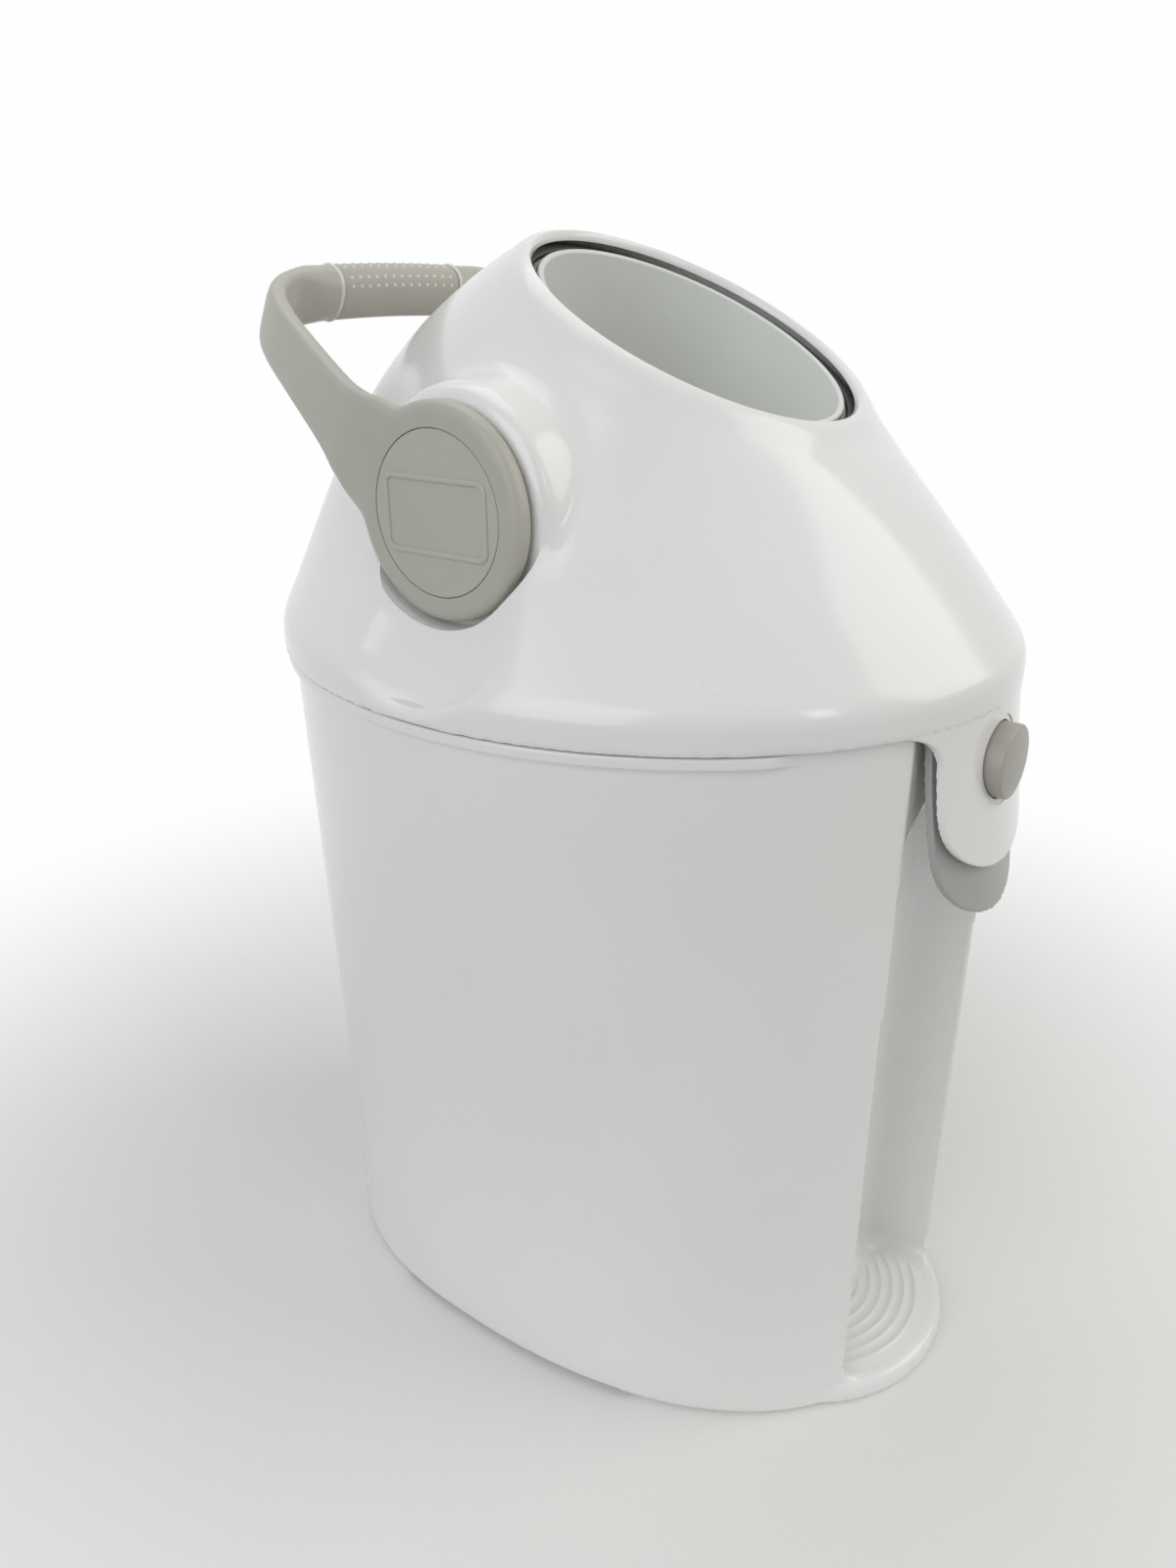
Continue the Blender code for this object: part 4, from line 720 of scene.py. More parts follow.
def hinge_arm(name, low_x, high_x, root, low, high):
    def front_angle(z):
        return math.pi - math.asin(max(-1, min(1, (z - PIN.z) / KNUCKLE)))

    start, end = front_angle(high), front_angle(low) - 2 * math.pi
    turns = [start + (end - start) * k / 48 for k in range(49)]
    side_view = [(root, high)]
    side_view += [(PIN.y + KNUCKLE * math.cos(a), PIN.z + KNUCKLE * math.sin(a)) for a in turns]
    side_view.append((root, low))
    edge = 0.0005
    rings = []
    for x, draw in ((low_x, edge), (low_x + edge, 0), (high_x - edge, 0), (high_x, edge)):
        part = 1 - draw / KNUCKLE
        rings.append([Vector((x, PIN.y + (y - PIN.y) * part, PIN.z + (z - PIN.z) * part))
                      for y, z in side_view])
    arm = skin(name, rings)
    start, end = low_x - 0.01, high_x + 0.01
    bore = [(0, start), (PIN_BORE, start), (PIN_BORE, end), (0, end)]
    return smooth(carve(arm, spun("pin_bore", bore, about((1, 0, 0), PIN), 40)))


for label, side in SIDES:
    ends = sorted(side * x for x in DOME_ARM)
    arm = hinge_arm(label + "_dome_hinge_arm", *ends, PIN.y - 0.0156, SEAM + 0.0006, SEAM + 0.0086)
    dress(arm, "lid", "gloss_white_plastic", "lid_dome")
    ends = sorted(side * x for x in PAIL_EAR)
    ear = hinge_arm(label + "_pail_hinge_ear", *ends, PIN.y - 0.0225, PIN.z - 0.0080, PIN.z - 0.0003)
    dress(ear, "base", "gloss_white_plastic", "pail")

# %% [markdown]
# ## Pail
# The pail tapers from a blunt ellipse under the lid to a squarer one on the floor. Its front has a
# shallow recess with an arched alcove below, and in the alcove lies a foot step, a low round plate
# that comes out of the wall on soft fillets. The alcove's cutter carries these fillets itself: its
# lower and rear corners are rounded, so what it leaves behind is a wall that curves into the plate.

# %% Pail skin
LINTEL, STEP_TOP, STEP_CENTRE, STEP_RADIUS = 0.1745, 0.0125, 0.1205, 0.0790
RECESS_HALF, ALCOVE_BACK = 0.0530, 0.1410
SPRING, CROWN = SEAM - 0.0800, SEAM - 0.0350    # where the alcove's arch begins, and its top


def alcove(name, grow, fillet, floor=STEP_TOP):
    """Arched recess over the step. Its corners at the floor and at the back are rounded by fillet."""
    back = ALCOVE_BACK - grow
    stations = [(0.23, 0), (0.20, 0), (LINTEL, 0)]
    turns = [math.radians(a) for a in (0, 12, 25, 38, 52, 66, 78, 90)]
    stations += [(back + fillet * (1 - math.sin(a)), fillet * (1 - math.cos(a))) for a in turns]
    rings = []
    for forward, draw in stations:
        taper = min(1, max(0, (LINTEL - forward) / (LINTEL - back))) if forward < LINTEL else 0
        half = RECESS_HALF + grow - 0.0055 * taper - draw
        bottom = floor - grow + draw
        ring = rounding(fillet, -90, 0, 9, (half - fillet, bottom + fillet))
        crown = CROWN + grow - SPRING - draw / 2 - 0.0030 * taper
        ring += [(half * math.cos(a), SPRING + crown * math.sin(a))
                 for a in (math.radians(6 * k) for k in range(31))]
        ring += [(-x, z) for x, z in reversed(ring[:10])]
        lean = 0.0050 / SPRING if forward < LINTEL else 0
        rings.append([Vector((x, HUB_Y - forward - lean * max(0, z), z)) for x, z in ring])
    return skin(name, rings)


def block(name, low, high):
    x0, y0, z0 = low
    x1, y1, z1 = high
    plan = ((x0, y0), (x1, y0), (x1, y1), (x0, y1))
    return skin(name, [[Vector((x, y, z)) for x, y in plan] for z in (z0, z1)])


TOP = SEAM - 0.0005
pail = loft("pail_skin", pail_outline, (0, 0.0036), (0.0006, 0.0018), (0.0018, 0.0006), (0.0040, 0),
            (0.06, 0), (0.12, 0), (0.18, 0), (0.24, 0), (0.30, 0), (TOP, 0), (TOP + 0.012, 0))
carve(pail, block("recess", (-RECESS_HALF, -0.25, 0.10), (RECESS_HALF, HUB_Y - LINTEL, 0.45)))
carve(pail, alcove("alcove", grow=0, fillet=0.0105))
edge = 0.0050
plate = [(0, 0), (STEP_RADIUS - 0.0025, 0), (STEP_RADIUS, 0.0025)]
plate += rounding(edge, 0, 90, 8, (STEP_RADIUS - edge, STEP_TOP - edge)) + [(0, STEP_TOP)]
carve(pail, spun("plate", plate, Matrix.Translation((0, HUB_Y - STEP_CENTRE, 0)), 160), "UNION")
even(pail, voxel=0.0022)
relax(pail, 10)
co = np.empty(len(pail.data.vertices) * 3)
pail.data.vertices.foreach_get("co", co)
co[2::3] = np.maximum(co[2::3], 0)
pail.data.vertices.foreach_set("co", co)
carve(pail, block("over_the_rim", (-0.3, -0.3, TOP), (0.3, 0.3, 0.5)))
print("outer skin", len(pail.data.vertices), "points")

# %% [markdown]
# Inside, the pail is a bag's room with even walls: the outline drawn in by the wall, less the walls
# of recess and alcove. Underneath it is hollow too, and stands on a narrow band with a low arch at
# each side for the fingers that lift it.

# %% Inside and underside of the pail
inner = loft("pail_inner", pail_outline, (0.0085, 0.0070), (0.0097, 0.0042), (0.0125, WALL), (0.1, WALL),
             (0.2, WALL), (0.3, WALL), (TOP, WALL), (0.40, WALL))
carve(inner, block("lintel", (-0.056, -0.25, -0.02), (0.056, HUB_Y - LINTEL + WALL, 0.45)))
carve(inner, alcove("alcove_wall", WALL, 0.0135, 0.006))
carve(pail, inner)
carve(pail, loft("underside", pail_outline, (-0.02, 0.011), (0.0030, 0.011), (0.0040, 0.012)))
rise = [(0.012 * k / 8, 0.0040 * (0.5 - 0.5 * math.cos(math.pi * k / 8))) for k in range(9)]
arch = [(-0.090 + along, up) for along, up in rise] + [(0.072 - along, up) for along, up in reversed(rise)]
arch = [(-0.090, -0.02)] + arch + [(0.072, -0.02)]
carve(pail, skin("side_arches", [[Vector((x, HUB_Y + y, z)) for y, z in arch] for x in (-0.2, 0.2)]))
dress(smooth(pail, 40), "base", "gloss_white_plastic", "pail")

# %% [markdown]
# A narrow ledge runs round the pail's rim under the lid and fades out at the sides of the front. It
# is a small profile, swept along the outline and drawn in where it fades. The foot step has fine
# ridges round its centre, which keep a shoe from slipping. They are turned as a thin disc and kept
# only where the step lies open in the alcove and in front of it.


# %% Rim ledge and tread of the foot step
def ledge_profile(fade):
    out, low, high = 0.0034 * fade, TOP - 0.0003 - 0.0052, TOP - 0.0003
    corner = min(0.0012, out / 2 + 1e-5)
    return ([(-0.0015, low)] + rounding(corner, -90, 0, 5, (out - corner, low + corner))
            + rounding(corner, 0, 90, 5, (out - corner, high - corner)) + [(-0.0015, high)])


rows = []
for i in range(ROUND * 2):
    angle = 2 * math.pi * i / (ROUND * 2) - math.pi / 2
    c, s = math.cos(angle), math.sin(angle)
    reach = LID["back"] if s > 0 else LID["front"]
    unit = Vector((bulge(c, LID["front_power"]), bulge(s, LID["front_power"]), 0))
    spot = Vector((unit.x * (LID["half_width"] - RIM_INSET),
                   HUB_Y + LID["centre"] + unit.y * (reach - RIM_INSET), 0))
    fade = float(near(np.array(spot.y), HUB_Y - 0.138, HUB_Y - 0.152))
    if fade > 0.01:
        rows.append([spot + Vector((unit.x * out, unit.y * out, z)) for out, z in ledge_profile(fade)])
ledge = skin("pail_rim_ledge", rows)
dress(smooth(ledge, 50), "base", "gloss_white_plastic", "pail")

tread = [(0, 0.0119), (0.0720, 0.0119), (0.0724, STEP_TOP + 0.00002)]
for k in reversed(range(6)):
    ridge = 0.0340 + 0.0062 * k
    tread += [(ridge + out, STEP_TOP + up) for out, up in (
        (0.0012, 0.00004), (0.0008, 0.00040), (0, 0.00055), (-0.0008, 0.00040), (-0.0012, 0.00004))]
tread.append((0, STEP_TOP + 0.00003))
ridges = spun("foot_step_tread", tread, Matrix.Translation((0, HUB_Y - STEP_CENTRE, 0)), 220)
open_space = alcove("open_space", -0.0020, 0.0100, 0.0080)
carve(ridges, open_space, "INTERSECT")
dress(smooth(ridges, 50), "base", "gloss_white_plastic", "pail")

# %% [markdown]
# ## Bag ring and its pull tab
# The ring lies on the pail's rim and clamps the bag with a collar that hangs inside. Its tab comes
# down in front, just behind the lid's tongue, so a finger can lift it once the lid is up. The ring
# is a plate with a bore, and the tab is another curved sheet, with no flare and a longer end.

# %% Bag ring and tab skins
RING_LOW = TOP + 0.0003
RING_HIGH = RING_LOW + 0.0028
TONGUE_BACK = lid_front(0, 0.0034)
NOTCH_HALF = 0.0245                     # half width of the notch for the button's stem


def ring_bore():
    bore = loft("ring_bore", lid_outline, (RING_LOW - 0.042, 0.0167), (RING_HIGH + 0.02, 0.0143))
    return carve(bore, block("bore_front", (-0.17, -0.25, 0.2), (0.17, HUB_Y - 0.1671, 0.5)))


def ring_notch():
    return block("ring_notch", (-NOTCH_HALF, -0.25, BUTTON_Z - 0.0235),
                 (NOTCH_HALF, TONGUE_BACK + 0.013, 0.40))


ring = loft("bag_ring_skin", lid_outline, (RING_LOW, 0.0050), (RING_LOW + 0.0005, 0.0045),
            (RING_HIGH - 0.0005, 0.0045), (RING_HIGH, 0.0050))
collar = loft("collar", lid_outline, (RING_LOW - 0.0220, 0.0123), (RING_LOW + 0.0003, 0.0099))
carve(collar, block("behind_lintel", (-0.17, -0.25, 0.3), (0.17, HUB_Y - 0.1691, RING_LOW)))
carve(collar, block("over_arch", (-0.059, -0.25, 0.3), (0.059, HUB_Y - 0.135, SEAM - 0.0086)))
carve(carve(carve(ring, collar, "UNION"), ring_bore()), ring_notch())
dress(smooth(ring), "ring", "ring_grey_plastic", "bag_ring")
arm = hinge_arm("bag_ring_hinge_arm", -RING_ARM, RING_ARM, PIN.y - 0.0195, RING_LOW + 0.00015,
                RING_HIGH - 0.00015)
dress(arm, "ring", "ring_grey_plastic", "bag_ring")

tab = sheet("bag_ring_tab", setback=0.0065, thickness=0.0031, half_width=0.0435, flare=0, flare_height=0.0170,
            length=0.0925, round_height=0.0380, lean=0.0145, top=RING_HIGH)
relax(even(tab, voxel=0.0007), FRONT_PASSES)
carve(carve(tab, ring_bore()), ring_notch())
dress(smooth(tab), "ring", "ring_grey_plastic", "bag_ring")

# %% [markdown]
# ## Plate, gasket and screws under the drum
# With the lid up one looks at the plate that carries the drum. It fills the lid's underside, has a
# raised collar that the drum turns in, and is held by a screw in each of the dome's four posts. A
# soft gasket beside its edge presses on the bag ring.

# %% Carrier plate with collar, gasket and screws
PLATE_LOW = 0.3745
plate = loft("drum_carrier_plate", lid_outline, (PLATE_LOW, 0.0045), (0.3750, 0.0040), (0.3765, 0.0040),
             (0.3770, 0.0045))
level = Matrix.Translation((0, HUB_Y, 0))
PLATE_HOLE = 0.0786
hole = [(0, 0.36), (PLATE_HOLE, 0.36), (PLATE_HOLE, 0.40), (0, 0.40)]
carve(plate, spun("plate_hole", hole, level, 160))
collar = [(0.07644, PLATE_LOW), (0.0808, PLATE_LOW), (0.0884, 0.3850)]
collar += rounding(0.0010, 10, 170, 6, (0.0870, 0.3850))
carve(plate, spun("plate_collar", collar, level, 160), "UNION")
dress(smooth(plate), "lid", "inner_white_plastic", "drum_carrier")

gasket = loft("gasket_skin", lid_outline, (0.3729, 0.0110), (0.3733, 0.0105), (0.3742, 0.0105))
carve(gasket, loft("gasket_bore", lid_outline, (0.35, 0.0155), (0.40, 0.0155)))
carve(gasket, block("gasket_notch", (-NOTCH_HALF, -0.25, 0.3), (NOTCH_HALF, TONGUE_BACK + 0.013, 0.4)))
dress(smooth(gasket), "lid", "seal_grey_rubber", "lid_gasket")

head = [(0, 0.0016), (0.0012, 0.00155), (0.0024, 0.00125), (0.0031, 0.0007), (0.0033, 0.0001),
        (0.0033, -0.0004), (0.0014, -0.0004), (0.0014, -0.0080), (0, -0.0095)]
for label, x, y in (("front_left", -POST_X, POST_FRONT), ("front_right", POST_X, POST_FRONT),
                    ("back_left", -POST_X, POST_BACK), ("back_right", POST_X, POST_BACK)):
    spot = Vector((x, HUB_Y + y, PLATE_LOW))
    screw = spun(label + "_carrier_screw", head, about((0, 0, -1), spot), 48)
    for turn in (0.4, 0.4 + math.pi / 2):
        slot = block("cross_slot", (-0.0018, -0.0003, -0.0040), (0.0018, 0.0003, -0.0006))
        slot.data.transform(Matrix.Translation(spot) @ Matrix.Rotation(turn, 4, "Z"))
        carve(screw, slot)
    dress(smooth(screw), "lid", "steel", "drum_carrier")

# %% [markdown]
# ## Drum, cup, piston and seals
# All of these are turned, so each is a profile of radius and height. The drum is a ball with flat
# sides, turned about the level hub axis, with a round opening for the cup. The cup, the piston and
# the seals are turned about the mouth's axis. Through the mouth one sees the cup's wall, its
# rounded rim, a strip of the ball and the dark line of the seal under the dome's lip.

# %% Drum shell
BALL, FLAT = 0.1045, 0.0980             # the drum's radius, and its flat sides out from the middle
BALL_INSIDE, FLAT_INSIDE = 0.1020, 0.0955
AXLE_BORE, HUB_BARREL = 0.0103, 0.0165


def ball_arc(radius, half, steps):
    edge = math.acos(half / radius)
    return [(radius * math.sin(a), radius * math.cos(a))
            for a in (edge + (math.pi - 2 * edge) * k / steps for k in range(steps + 1))]


barrel = [(AXLE_BORE, 0.1069), (0.0160, 0.1069), (HUB_BARREL, 0.1064), (HUB_BARREL, FLAT)]
shell = barrel + ball_arc(BALL, FLAT, 64) + [(r, -x) for r, x in reversed(barrel)]
shell += [(AXLE_BORE, -0.0810), (HUB_BARREL, -0.0810), (HUB_BARREL, -FLAT_INSIDE)]
shell += ball_arc(BALL_INSIDE, FLAT_INSIDE, 40)[::-1]
shell += [(HUB_BARREL, FLAT_INSIDE), (HUB_BARREL, 0.0810), (AXLE_BORE, 0.0810)]
drum = spun("drum_shell_skin", shell, about((1, 0, 0)), 144)
opening = [(0, 0), (0.0757, 0), (0.0757, 0.0712), (0.0780, 0.0745), (0.0780, 0.12), (0, 0.12)]
carve(drum, spun("drum_opening", opening, about(MOUTH_AXIS), 144))
dress(smooth(drum), "drum", "inner_white_plastic", "drum_shell")

# %% Pieces turned about the mouth's axis, the hub axis and the floor's normal
CUP_FLOOR, PISTON_TOP, PISTON_FOOT = -0.0595, -0.0302, -0.0592
middle = (PISTON_TOP + PISTON_FOOT) / 2
cup = [(0, CUP_FLOOR), (0.0690, CUP_FLOOR)] + rounding(0.0030, -90, 0, 6, (0.0690, CUP_FLOOR + 0.0030))
cup += [(0.0720, 0.0700), (0.0722, 0.0719)] + rounding(0.0012, 180, 90, 5, (0.0734, 0.0723))
cup += rounding(0.0012, 90, 0, 5, (0.0742, 0.0723))
cup += [(0.0754, 0.0710), (0.0740, 0.0693), (0.0740, CUP_FLOOR - 0.0020), (0.0060, CUP_FLOOR - 0.0020),
        (0.0060, -0.1005), (0, -0.1005)]
piston = [(0, PISTON_TOP), (0.0681, PISTON_TOP)] + rounding(0.0028, 90, 0, 6, (0.0681, PISTON_TOP - 0.0028))
piston += [(0.0709, middle + 0.0030), (0.0683, middle + 0.0030), (0.0683, middle - 0.0030),
           (0.0709, middle - 0.0030), (0.0709, PISTON_FOOT + 0.0020), (0.0689, PISTON_FOOT),
           (0.0655, PISTON_FOOT), (0.0655, PISTON_TOP - 0.0028), (0, PISTON_TOP - 0.0028)]
piston_seal = [(r, middle + h) for r, h in (
    (0.0686, -0.0027), (0.0686, 0.0027), (0.0712, 0.0027), (0.0716, 0.0012), (0.0717, 0), (0.0716, -0.0012),
    (0.0712, -0.0027))]
weight = [(0, -0.0433), (0.0588, -0.0433), (0.0595, -0.0426), (0.0595, -0.0340), (0.0588, -0.0333),
          (0, -0.0333)]


def seal_profile(thickness, start, end):
    """Strip that lies on the ball between two angles from its axis, with rounded edges."""
    inner, outer, soft = BALL + 0.0005, BALL + 0.0005 + thickness, math.radians(0.25)
    start, end = math.radians(start), math.radians(end)
    steps = [start + (end - start) * k / 8 for k in range(9)]
    there = [start + soft] + steps[1:-1] + [end - soft]
    points = [(outer * math.sin(a), outer * math.cos(a)) for a in there]
    middle = (inner + outer) / 2
    points.append((middle * math.sin(end), middle * math.cos(end)))
    points += [(inner * math.sin(a), inner * math.cos(a)) for a in reversed(there)]
    points.append((middle * math.sin(start), middle * math.cos(start)))
    return points


axle = [(0, 0.0807), (0.0095, 0.0807), (0.0100, 0.0812), (0.0100, 0.1320), (0.0095, 0.1325), (0, 0.1325)]
bush = [(0.0103, 0.1072), (0.0171, 0.1072), (0.0175, 0.1076), (0.0175, 0.1088), (0.0171, 0.1092),
        (0.0145, 0.1092), (0.0145, 0.1268), (0.0141, 0.1272), (0.0103, 0.1272)]
pin = [(0, -0.0389), (0.0016, -0.0389), (0.0020, -0.0385), (0.0020, 0.0385), (0.0016, 0.0389), (0, 0.0389)]
mouthward = about(MOUTH_AXIS)
upper_seal = [(0.0783, 0.0700), (0.0783, 0.0713), (0.0787, 0.0717), (0.0800, 0.0717), (0.0838, 0.0710),
              (0.0840, 0.0660), (0.0820, 0.0662), (0.0800, 0.0690)]
turned_pieces = [
    ("drum_cup_skin", cup, mouthward, "drum", "inner_white_plastic", "drum_cup"),
    ("piston_skin", piston, mouthward, "piston", "inner_white_plastic", "piston_body"),
    ("piston_seal_skin", piston_seal, mouthward, "piston", "seal_grey_rubber", "piston_seal"),
    ("piston_weight_skin", weight, mouthward, "piston", "steel", "piston_weight"),
    ("upper_seal_skin", upper_seal, mouthward, "lid", "seal_grey_rubber", "upper_drum_seal"),
    ("lower_seal_skin", seal_profile(0.0016, 42.2, 49.8), about((0, 0, -1)), "lid", "seal_grey_rubber",
     "lower_drum_seal"),
    ("hinge_pin_skin", pin, about((1, 0, 0), PIN), "base", "steel", "hinge_pin"),
]
for label, side in SIDES:
    sideways = about((side, 0, 0))
    turned_pieces += [
        (label + "_axle_skin", axle, sideways, "drum", "warm_grey_plastic", label + "_axle"),
        (label + "_bush_skin", bush, sideways, "lid", "cap_grey_plastic", label + "_axle_bush")]
for name, profile, matrix, body, slot_name, solid in turned_pieces:
    dress(smooth(spun(name, profile, matrix, 160)), body, slot_name, solid)

# %% [markdown]
# ## Handle
# The handle is a strap that leaves the hub discs wide, narrows along the arms, bends inwards at the
# corners and thickens to an oval grip. Its middle line runs smoothly through a few stations, and
# each section is a superellipse whose width, height and power change along the line. Strap and
# discs are joined, remeshed and relaxed, so that the arms flow into the discs as on the moulding.

# %% Strap along its line
GRIP_REACH, GRIP_THICK, GRIP_HALF = 0.1800, 0.01025, 0.0134
ARM_THICK, ARM_POWER, GRIP_POWER = 0.0046, 4.2, 2.3
HUB_FACE, HUB_BACK, HUB_RADIUS = 0.1370, 0.1275, 0.0450
LINE = ((1.000, -0.035), (0.998, 0.240), (0.985, 0.333), (0.944, 0.433), (0.850, 0.655), (0.792, 0.778),
        (0.722, 0.872), (0.630, 0.932), (0.520, 0.966), (0.360, 0.988), (0.000, 1.000))
HEIGHTS = (2.30, 1.84, 1.45, 1.20, 1.05, 1.01, 1.00, 1.00, 1.02, 1.06, 1.12)
in_handle = Matrix.Translation(HUB) @ Matrix.Rotation(HANDLE_TILT, 4, "X")


def between(a, b, c, d, t):
    """Smooth curve through b and c that heads on from a and towards d."""
    return 0.5 * ((2 * b) + (c - a) * t + (2 * a - 5 * b + 4 * c - d) * t * t
                  + (3 * b - a - 3 * c + d) * t ** 3)


def strap(name, shrink, reach=None, per=8, count=56, ends=None):
    """Loft along the strap, smaller by shrink. reach keeps only the middle part, out to that X."""
    out = (HUB_FACE + HUB_BACK) / 2
    line = [Vector((-out * a, GRIP_REACH * b)) for a, b in LINE]
    tall = [0.0140 * s for s in HEIGHTS]
    line += [Vector((-p.x, p.y)) for p in reversed(line[:-1])]
    tall += tall[-2::-1]
    fine = []
    for i in range(len(line) - 1):
        p0, p1, p2, p3 = line[max(0, i - 1)], line[i], line[i + 1], line[min(len(line) - 1, i + 2)]
        for k in range(per):
            t = k / per
            h0, h1, h2, h3 = tall[max(0, i - 1)], tall[i], tall[i + 1], tall[min(len(line) - 1, i + 2)]
            fine.append((between(p0, p1, p2, p3, t), between(h0, h1, h2, h3, t)))
    fine.append((line[-1], tall[-1]))
    if reach is not None:
        fine = [f for f in fine if abs(f[0].x) < reach - 0.0004]
        slope = (fine[0][0] - fine[1][0]) / (fine[0][0].x - fine[1][0].x)
        left = fine[0][0] + slope * (-reach - fine[0][0].x)
        fine = [(left, fine[0][1])] + fine + [(Vector((-left.x, left.y)), fine[0][1])]
    rings = []
    for i, (place, half_height) in enumerate(fine):
        along = (fine[min(len(fine) - 1, i + 1)][0] - fine[max(0, i - 1)][0]).normalized()
        if reach is not None and i in (0, len(fine) - 1):
            along = Vector((1, 0))
        sideways = Vector((along.y, -along.x))
        grip = float(near(np.array(abs(place.x)), 0.0495, 0.0753))
        thick = ARM_THICK + (GRIP_THICK - ARM_THICK) * grip - shrink
        high = half_height + (GRIP_HALF - half_height) * grip - shrink
        if ends:
            draw = ends(reach - abs(place.x))
            thick, high = thick - draw, high - draw
        power = ARM_POWER + (GRIP_POWER - ARM_POWER) * grip
        ring = []
        for k in range(count):
            angle = 2 * math.pi * k / count
            c, s = math.cos(angle), math.sin(angle)
            flat = place + sideways * thick * bulge(c, power)
            ring.append(in_handle @ Vector((flat.x, flat.y, high * bulge(s, power))))
        rings.append(ring)
    return skin(name, rings)


handle = strap("handle_skin", 0)
for side in (-1, 1):
    disc = [(0, HUB_BACK), (HUB_RADIUS - 0.0006, HUB_BACK), (HUB_RADIUS, HUB_BACK + 0.0006)]
    disc += rounding(0.0016, 0, 90, 8, (HUB_RADIUS - 0.0016, HUB_FACE - 0.0016)) + [(0, HUB_FACE)]
    carve(handle, across("strap_end", HUB_RADIUS - 0.0020, 0.10, 0.16, side))
    carve(handle, spun("disc", disc, about((side, 0, 0)), 160), "UNION")


def fillet_weight(co):
    from_axis = np.hypot(co[:, 1] - HUB_Y, co[:, 2] - HUB_Z)
    return near(np.abs(from_axis - 0.0485), 0.0030, 0.0180) * near(np.abs(co[:, 0]), 0.120, 0.110)


even(handle, voxel=0.0011)
relax(handle, 8)
relax(handle, 44, fillet_weight, 0.5)
SLEEVE_REACH, SLEEVE_WALL, SLEEVE_GAP = 0.0430, 0.0022, 0.0003
seat = strap("sleeve_seat", -SLEEVE_WALL, SLEEVE_REACH)
carve(seat, strap("sleeve_core", SLEEVE_WALL, SLEEVE_REACH + SLEEVE_WALL))
carve(handle, seat)
CAP_RADIUS, CAP_SEAT = 0.0337, 0.1348
for side in (-1, 1):
    recess = [(0, CAP_SEAT), (CAP_RADIUS + 0.0003, CAP_SEAT), (CAP_RADIUS + 0.0003, HUB_FACE - 0.0002),
              (CAP_RADIUS + 0.0006, HUB_FACE + 0.0001), (CAP_RADIUS + 0.0006, 0.15), (0, 0.15)]
    carve(handle, spun("cap_recess", recess, about((side, 0, 0)), 160))
    carve(handle, across("socket", AXLE_BORE, 0.10, 0.1328, side))
    hollow = [(0.0133, 0.12), (0.0420, 0.12), (0.0420, 0.1320), (0.0133, 0.1320)]
    carve(handle, spun("disc_hollow", hollow, about((side, 0, 0)), 96))
dress(smooth(handle), "drum", "warm_grey_plastic", "handle")

# %% [markdown]
# A soft sleeve sits in the grip. It ends in a thin raised ring at each side, and small raised dots
# in a lighter rubber keep the hand from slipping. Each dot is a small cap of a ball, set on the
# sleeve's oval along its outward direction.


# %% Grip sleeve with end rings and dots
def end_draw(from_end):
    """Round the sleeve's ends over the last bit of its length."""
    soft = 0.0009
    return 0 if from_end > soft else soft - math.sqrt(max(0, soft ** 2 - (soft - max(0, from_end)) ** 2))


sleeve = strap("grip_sleeve_skin", 0, SLEEVE_REACH - SLEEVE_GAP, 24, 96, end_draw)
carve(sleeve, strap("sleeve_bore", SLEEVE_WALL - SLEEVE_GAP, SLEEVE_REACH + SLEEVE_WALL))
dress(smooth(sleeve), "drum", "grip_grey_rubber", "grip_sleeve")


def grip_point(x, angle, lift=0):
    """Point on the sleeve's oval and the outward direction there. Angle 0 points away from the hub."""
    rise = GRIP_REACH - 0.0022 * (x / 0.0495) ** 2
    c, s = math.cos(angle), math.sin(angle)
    flat, high = GRIP_THICK * bulge(c, GRIP_POWER), GRIP_HALF * bulge(s, GRIP_POWER)
    share = 2 - 2 / GRIP_POWER
    out = Vector((0, math.copysign(abs(c) ** share, c) / GRIP_THICK,
                  math.copysign(abs(s) ** share, s) / GRIP_HALF))
    out.normalize()
    return in_handle @ (Vector((x, rise + flat, high)) + out * lift), in_handle.to_3x3() @ out


dot_cream = satin_finish("grip_dot_cream", (0.74, 0.72, 0.65), 0.45, mottle=0.03, scuffs=0.1)
for label, x in (("left", -SLEEVE_REACH - 0.0004), ("right", SLEEVE_REACH + 0.0004)):
    steps, tube = 120, 0.0009
    rings = []
    for k in range(steps + 1):
        spot, out = grip_point(x, 2 * math.pi * k / steps, -0.0001)
        rings.append([spot + out * tube * math.sin(a) + Vector((tube * 1.3 * math.cos(a), 0, 0))
                      for a in (2 * math.pi * j / 12 for j in range(12))])
    band = skin(label + "_sleeve_ring", rings, capped=False)
    dress(smooth(band, 60), "drum", "grip_grey_rubber", "grip_sleeve", finish=dot_cream)

points, faces = [], []
DOT_PITCH, DOT_RISE = 0.0060, 0.62      # DOT_RISE is a dot's height over its radius


def add_dot(x, angle, radius=0.00105):
    spot, out = grip_point(x, angle, -0.0001)
    turn = out.to_track_quat("Z", "Y").to_matrix()
    first = len(points)
    for r in range(4):
        a = math.pi / 2 * r / 4
        for k in range(12):
            b = 2 * math.pi * k / 12
            points.append(spot + turn @ Vector((radius * math.cos(a) * math.cos(b),
                                                radius * math.cos(a) * math.sin(b),
                                                radius * DOT_RISE * math.sin(a))))
    points.append(spot + out * radius * DOT_RISE)
    for r in range(3):
        for k in range(12):
            a, b = first + r * 12 + k, first + r * 12 + (k + 1) % 12
            faces.append((a, b, b + 12, a + 12))
    faces.extend((first + 36 + k, first + 36 + (k + 1) % 12, first + 48) for k in range(12))


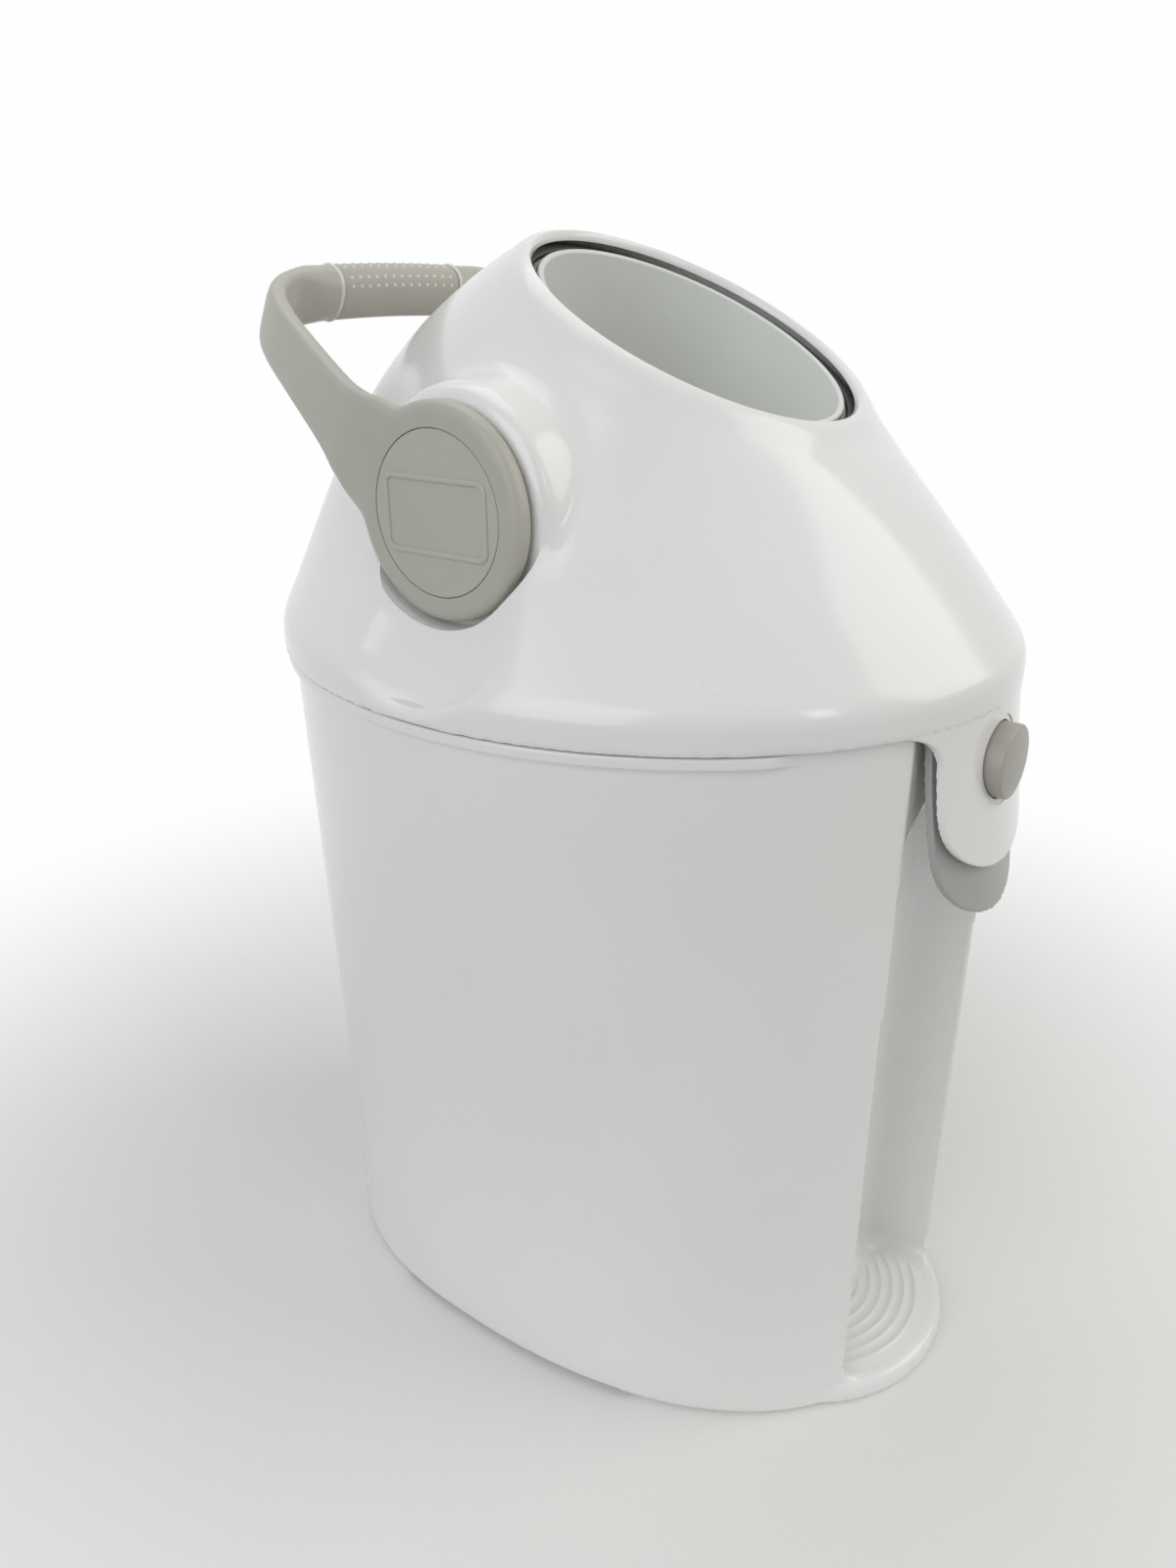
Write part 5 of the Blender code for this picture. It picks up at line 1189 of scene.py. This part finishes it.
for row, angle in enumerate((20, 38, 56, 74, 92)):
    for k in range(13 - row % 2):
        add_dot((k - (12 - row % 2) / 2) * DOT_PITCH, math.radians(angle))
for angle in (-35, 128, 150):
    for k in range(13):
        add_dot((k - 6) * DOT_PITCH, math.radians(angle))
dots = outward(mesh_of("grip_dots", points, faces))
dress(smooth(dots, 60), "drum", "grip_grey_rubber", "grip_sleeve", finish=dot_cream)

# %% [markdown]
# ## Hub caps and push button
# Each hub disc has a flush cap with a plain raised frame of a rounded rectangle on it. The button
# is turned, with a softly domed face, a rounded edge and the stem of the catch behind.

# %% Hub caps with frame, and button
CAP_FACE = 0.1369
for label, side in SIDES:
    cap = [(0, 0.1351), (CAP_RADIUS, 0.1351)]
    cap += rounding(0.0004, 0, 90, 5, (CAP_RADIUS - 0.0004, 0.1365)) + [(0, CAP_FACE)]
    cap = spun(label + "_hub_cap_skin", cap, about((side, 0, 0)), 200)
    dress(smooth(cap), "drum", "cap_grey_plastic", label + "_hub_cap")
    half_width, half_height, corner, bead = 0.0270, 0.0150, 0.0036, 0.0013
    path = []
    for cx, cy, start in ((1, 1, 0), (-1, 1, 90), (-1, -1, 180), (1, -1, 270)):
        for k in range(9):
            a = math.radians(start + 90 * k / 8)
            c, s = math.cos(a), math.sin(a)
            y, z = (half_width - corner) * cx + corner * c, (half_height - corner) * cy + corner * s
            path.append((y, z, c, s))
    rings = []
    for y, z, ny, nz in path + path[:1]:
        ring = []
        for j in range(12):
            a = 2 * math.pi * j / 12
            lift = CAP_FACE + bead * 0.8 * math.sin(a)
            ring.append(Vector((side * lift, HUB_Y + y + ny * bead * math.cos(a),
                                HUB_Z - 0.0010 + z + nz * bead * math.cos(a))))
        rings.append(ring)
    frame_bead = skin(label + "_hub_cap_frame", rings, capped=False)
    dress(smooth(frame_bead, 60), "drum", "cap_grey_plastic", label + "_hub_cap")

FACE, FACE_RADIUS, COLLAR_RADIUS, STEM_RADIUS = 0.2034, 0.0154, 0.0186, 0.0040
collar_front = -(lid_front(COLLAR_RADIUS, 0.0038) + 0.0003)
face = [(FACE_RADIUS * k / 14, FACE + 0.0012 * (1 - (k / 14) ** 2.4)) for k in range(15)]
button = face + rounding(0.0012, 80, 0, 7, (FACE_RADIUS, FACE - 0.0012)) + [
    (0.0166, collar_front), (COLLAR_RADIUS, collar_front), (COLLAR_RADIUS, collar_front - 0.0014),
    (0.0150, collar_front - 0.0014), (0.0150, FACE - 0.0028), (STEM_RADIUS, FACE - 0.0028),
    (STEM_RADIUS, collar_front - 0.0054), (0.0024, collar_front - 0.0074), (0, collar_front - 0.0074)]
dress(smooth(front_tool("button_skin", button, 128)), "press_button", "button_grey_plastic", "button")

# %% [markdown]
# ## Floor, light and background
# The bin stands on a plain pale floor that fades out into a pale background. Three large soft
# panels, high at the front right, at the left and above, light it as the room's windows do, and two
# narrow strips put a tall bright shape in the gloss. The even grey world fills the shadows. It looks
# almost white to the camera and to gloss, and is darker for the light that it throws on the bin.

# %% Floor and lights
floor = mesh_of("floor", [(-6, -6, 0), (6, -6, 0), (6, 6, 0), (-6, 6, 0)], [(0, 1, 2, 3)])
ground = Finish("pale_floor")
speckle = ground.noise(900, 3).step(0.3, 0.7) * 0.5 + ground.noise(8, 3) * 0.5
reach = ground.point.node("ShaderNodeVectorMath", {"operation": "LENGTH"}, {0: ground.point}, "Value")
fade = 1 - reach.step(0.22, 0.80)
ground.shade(Base_Color=speckle.blend((0.90, 0.89, 0.875), (0.86, 0.85, 0.835)), Roughness=0.62,
             Specular_IOR_Level=0.3, Normal=ground.bump(speckle, 0.0002, 0.3), Alpha=fade)
floor.data.materials.append(ground.material)


def panel(name, at, target, width, height, power, colour):
    light = bpy.data.lights.new(name, "AREA")
    light.shape, light.size, light.size_y = "RECTANGLE", width, height
    light.energy, light.color = power, colour
    obj = bpy.data.objects.new(name, light)
    obj.matrix_world = about(Vector(at) - Vector(target), Vector(at))
    scene.collection.objects.link(obj)
    return obj


MIDDLE = (0, 0, 0.3)
panel("front_panel", (1.1, -1.7, 1.5), MIDDLE, 1.5, 1.7, 18, (1, 0.965, 0.915))
panel("left_panel", (-1.9, -0.1, 1.2), MIDDLE, 1.4, 1.5, 15, (0.93, 0.965, 1))
panel("top_panel", (0.2, 0.5, 2.2), MIDDLE, 1.6, 1.6, 9, (1, 1, 1))
for k in range(2):
    panel(f"window_{k}", (-0.62 + 0.16 * k, -1.9, 1.25 + 0.05 * k), (0, 0, 0.42), 0.09, 0.62, 1.1,
          (1, 0.99, 0.97))
world = bpy.data.worlds.new("studio")
world.use_nodes = True
path = world.node_tree.nodes.new("ShaderNodeLightPath")
seen, gloss, through = (Wire(world.node_tree, path.outputs[f"Is {kind} Ray"])
                        for kind in ("Camera", "Glossy", "Transmission"))
background = world.node_tree.nodes["Background"]
strength = (seen + gloss + through).sum("MINIMUM", 1) * 0.71 + 0.34
world.node_tree.links.new(strength.socket, background.inputs["Strength"])
background.inputs["Color"].default_value = (0.94, 0.945, 0.95, 1)
scene.world = world
scene.view_settings.view_transform = "Standard"
print("three panels, two window strips and a grey world")

# %% [markdown]
# ## The finishes of the solids that stay
# Two solids show as they are: the bracket of the latch and the spring of the button. They keep their
# shape and only swap their plain material for a finish. Every solid gets the finish of its slot.

# %% Finishes of the carried-over solids
for row in frame["record"]["subparts"]:
    node = nodes[row["node"]]
    for place in node.material_slots:
        place.material = finish_of[row["material_slot"]]
print("finishes on", len(nodes), "solids")
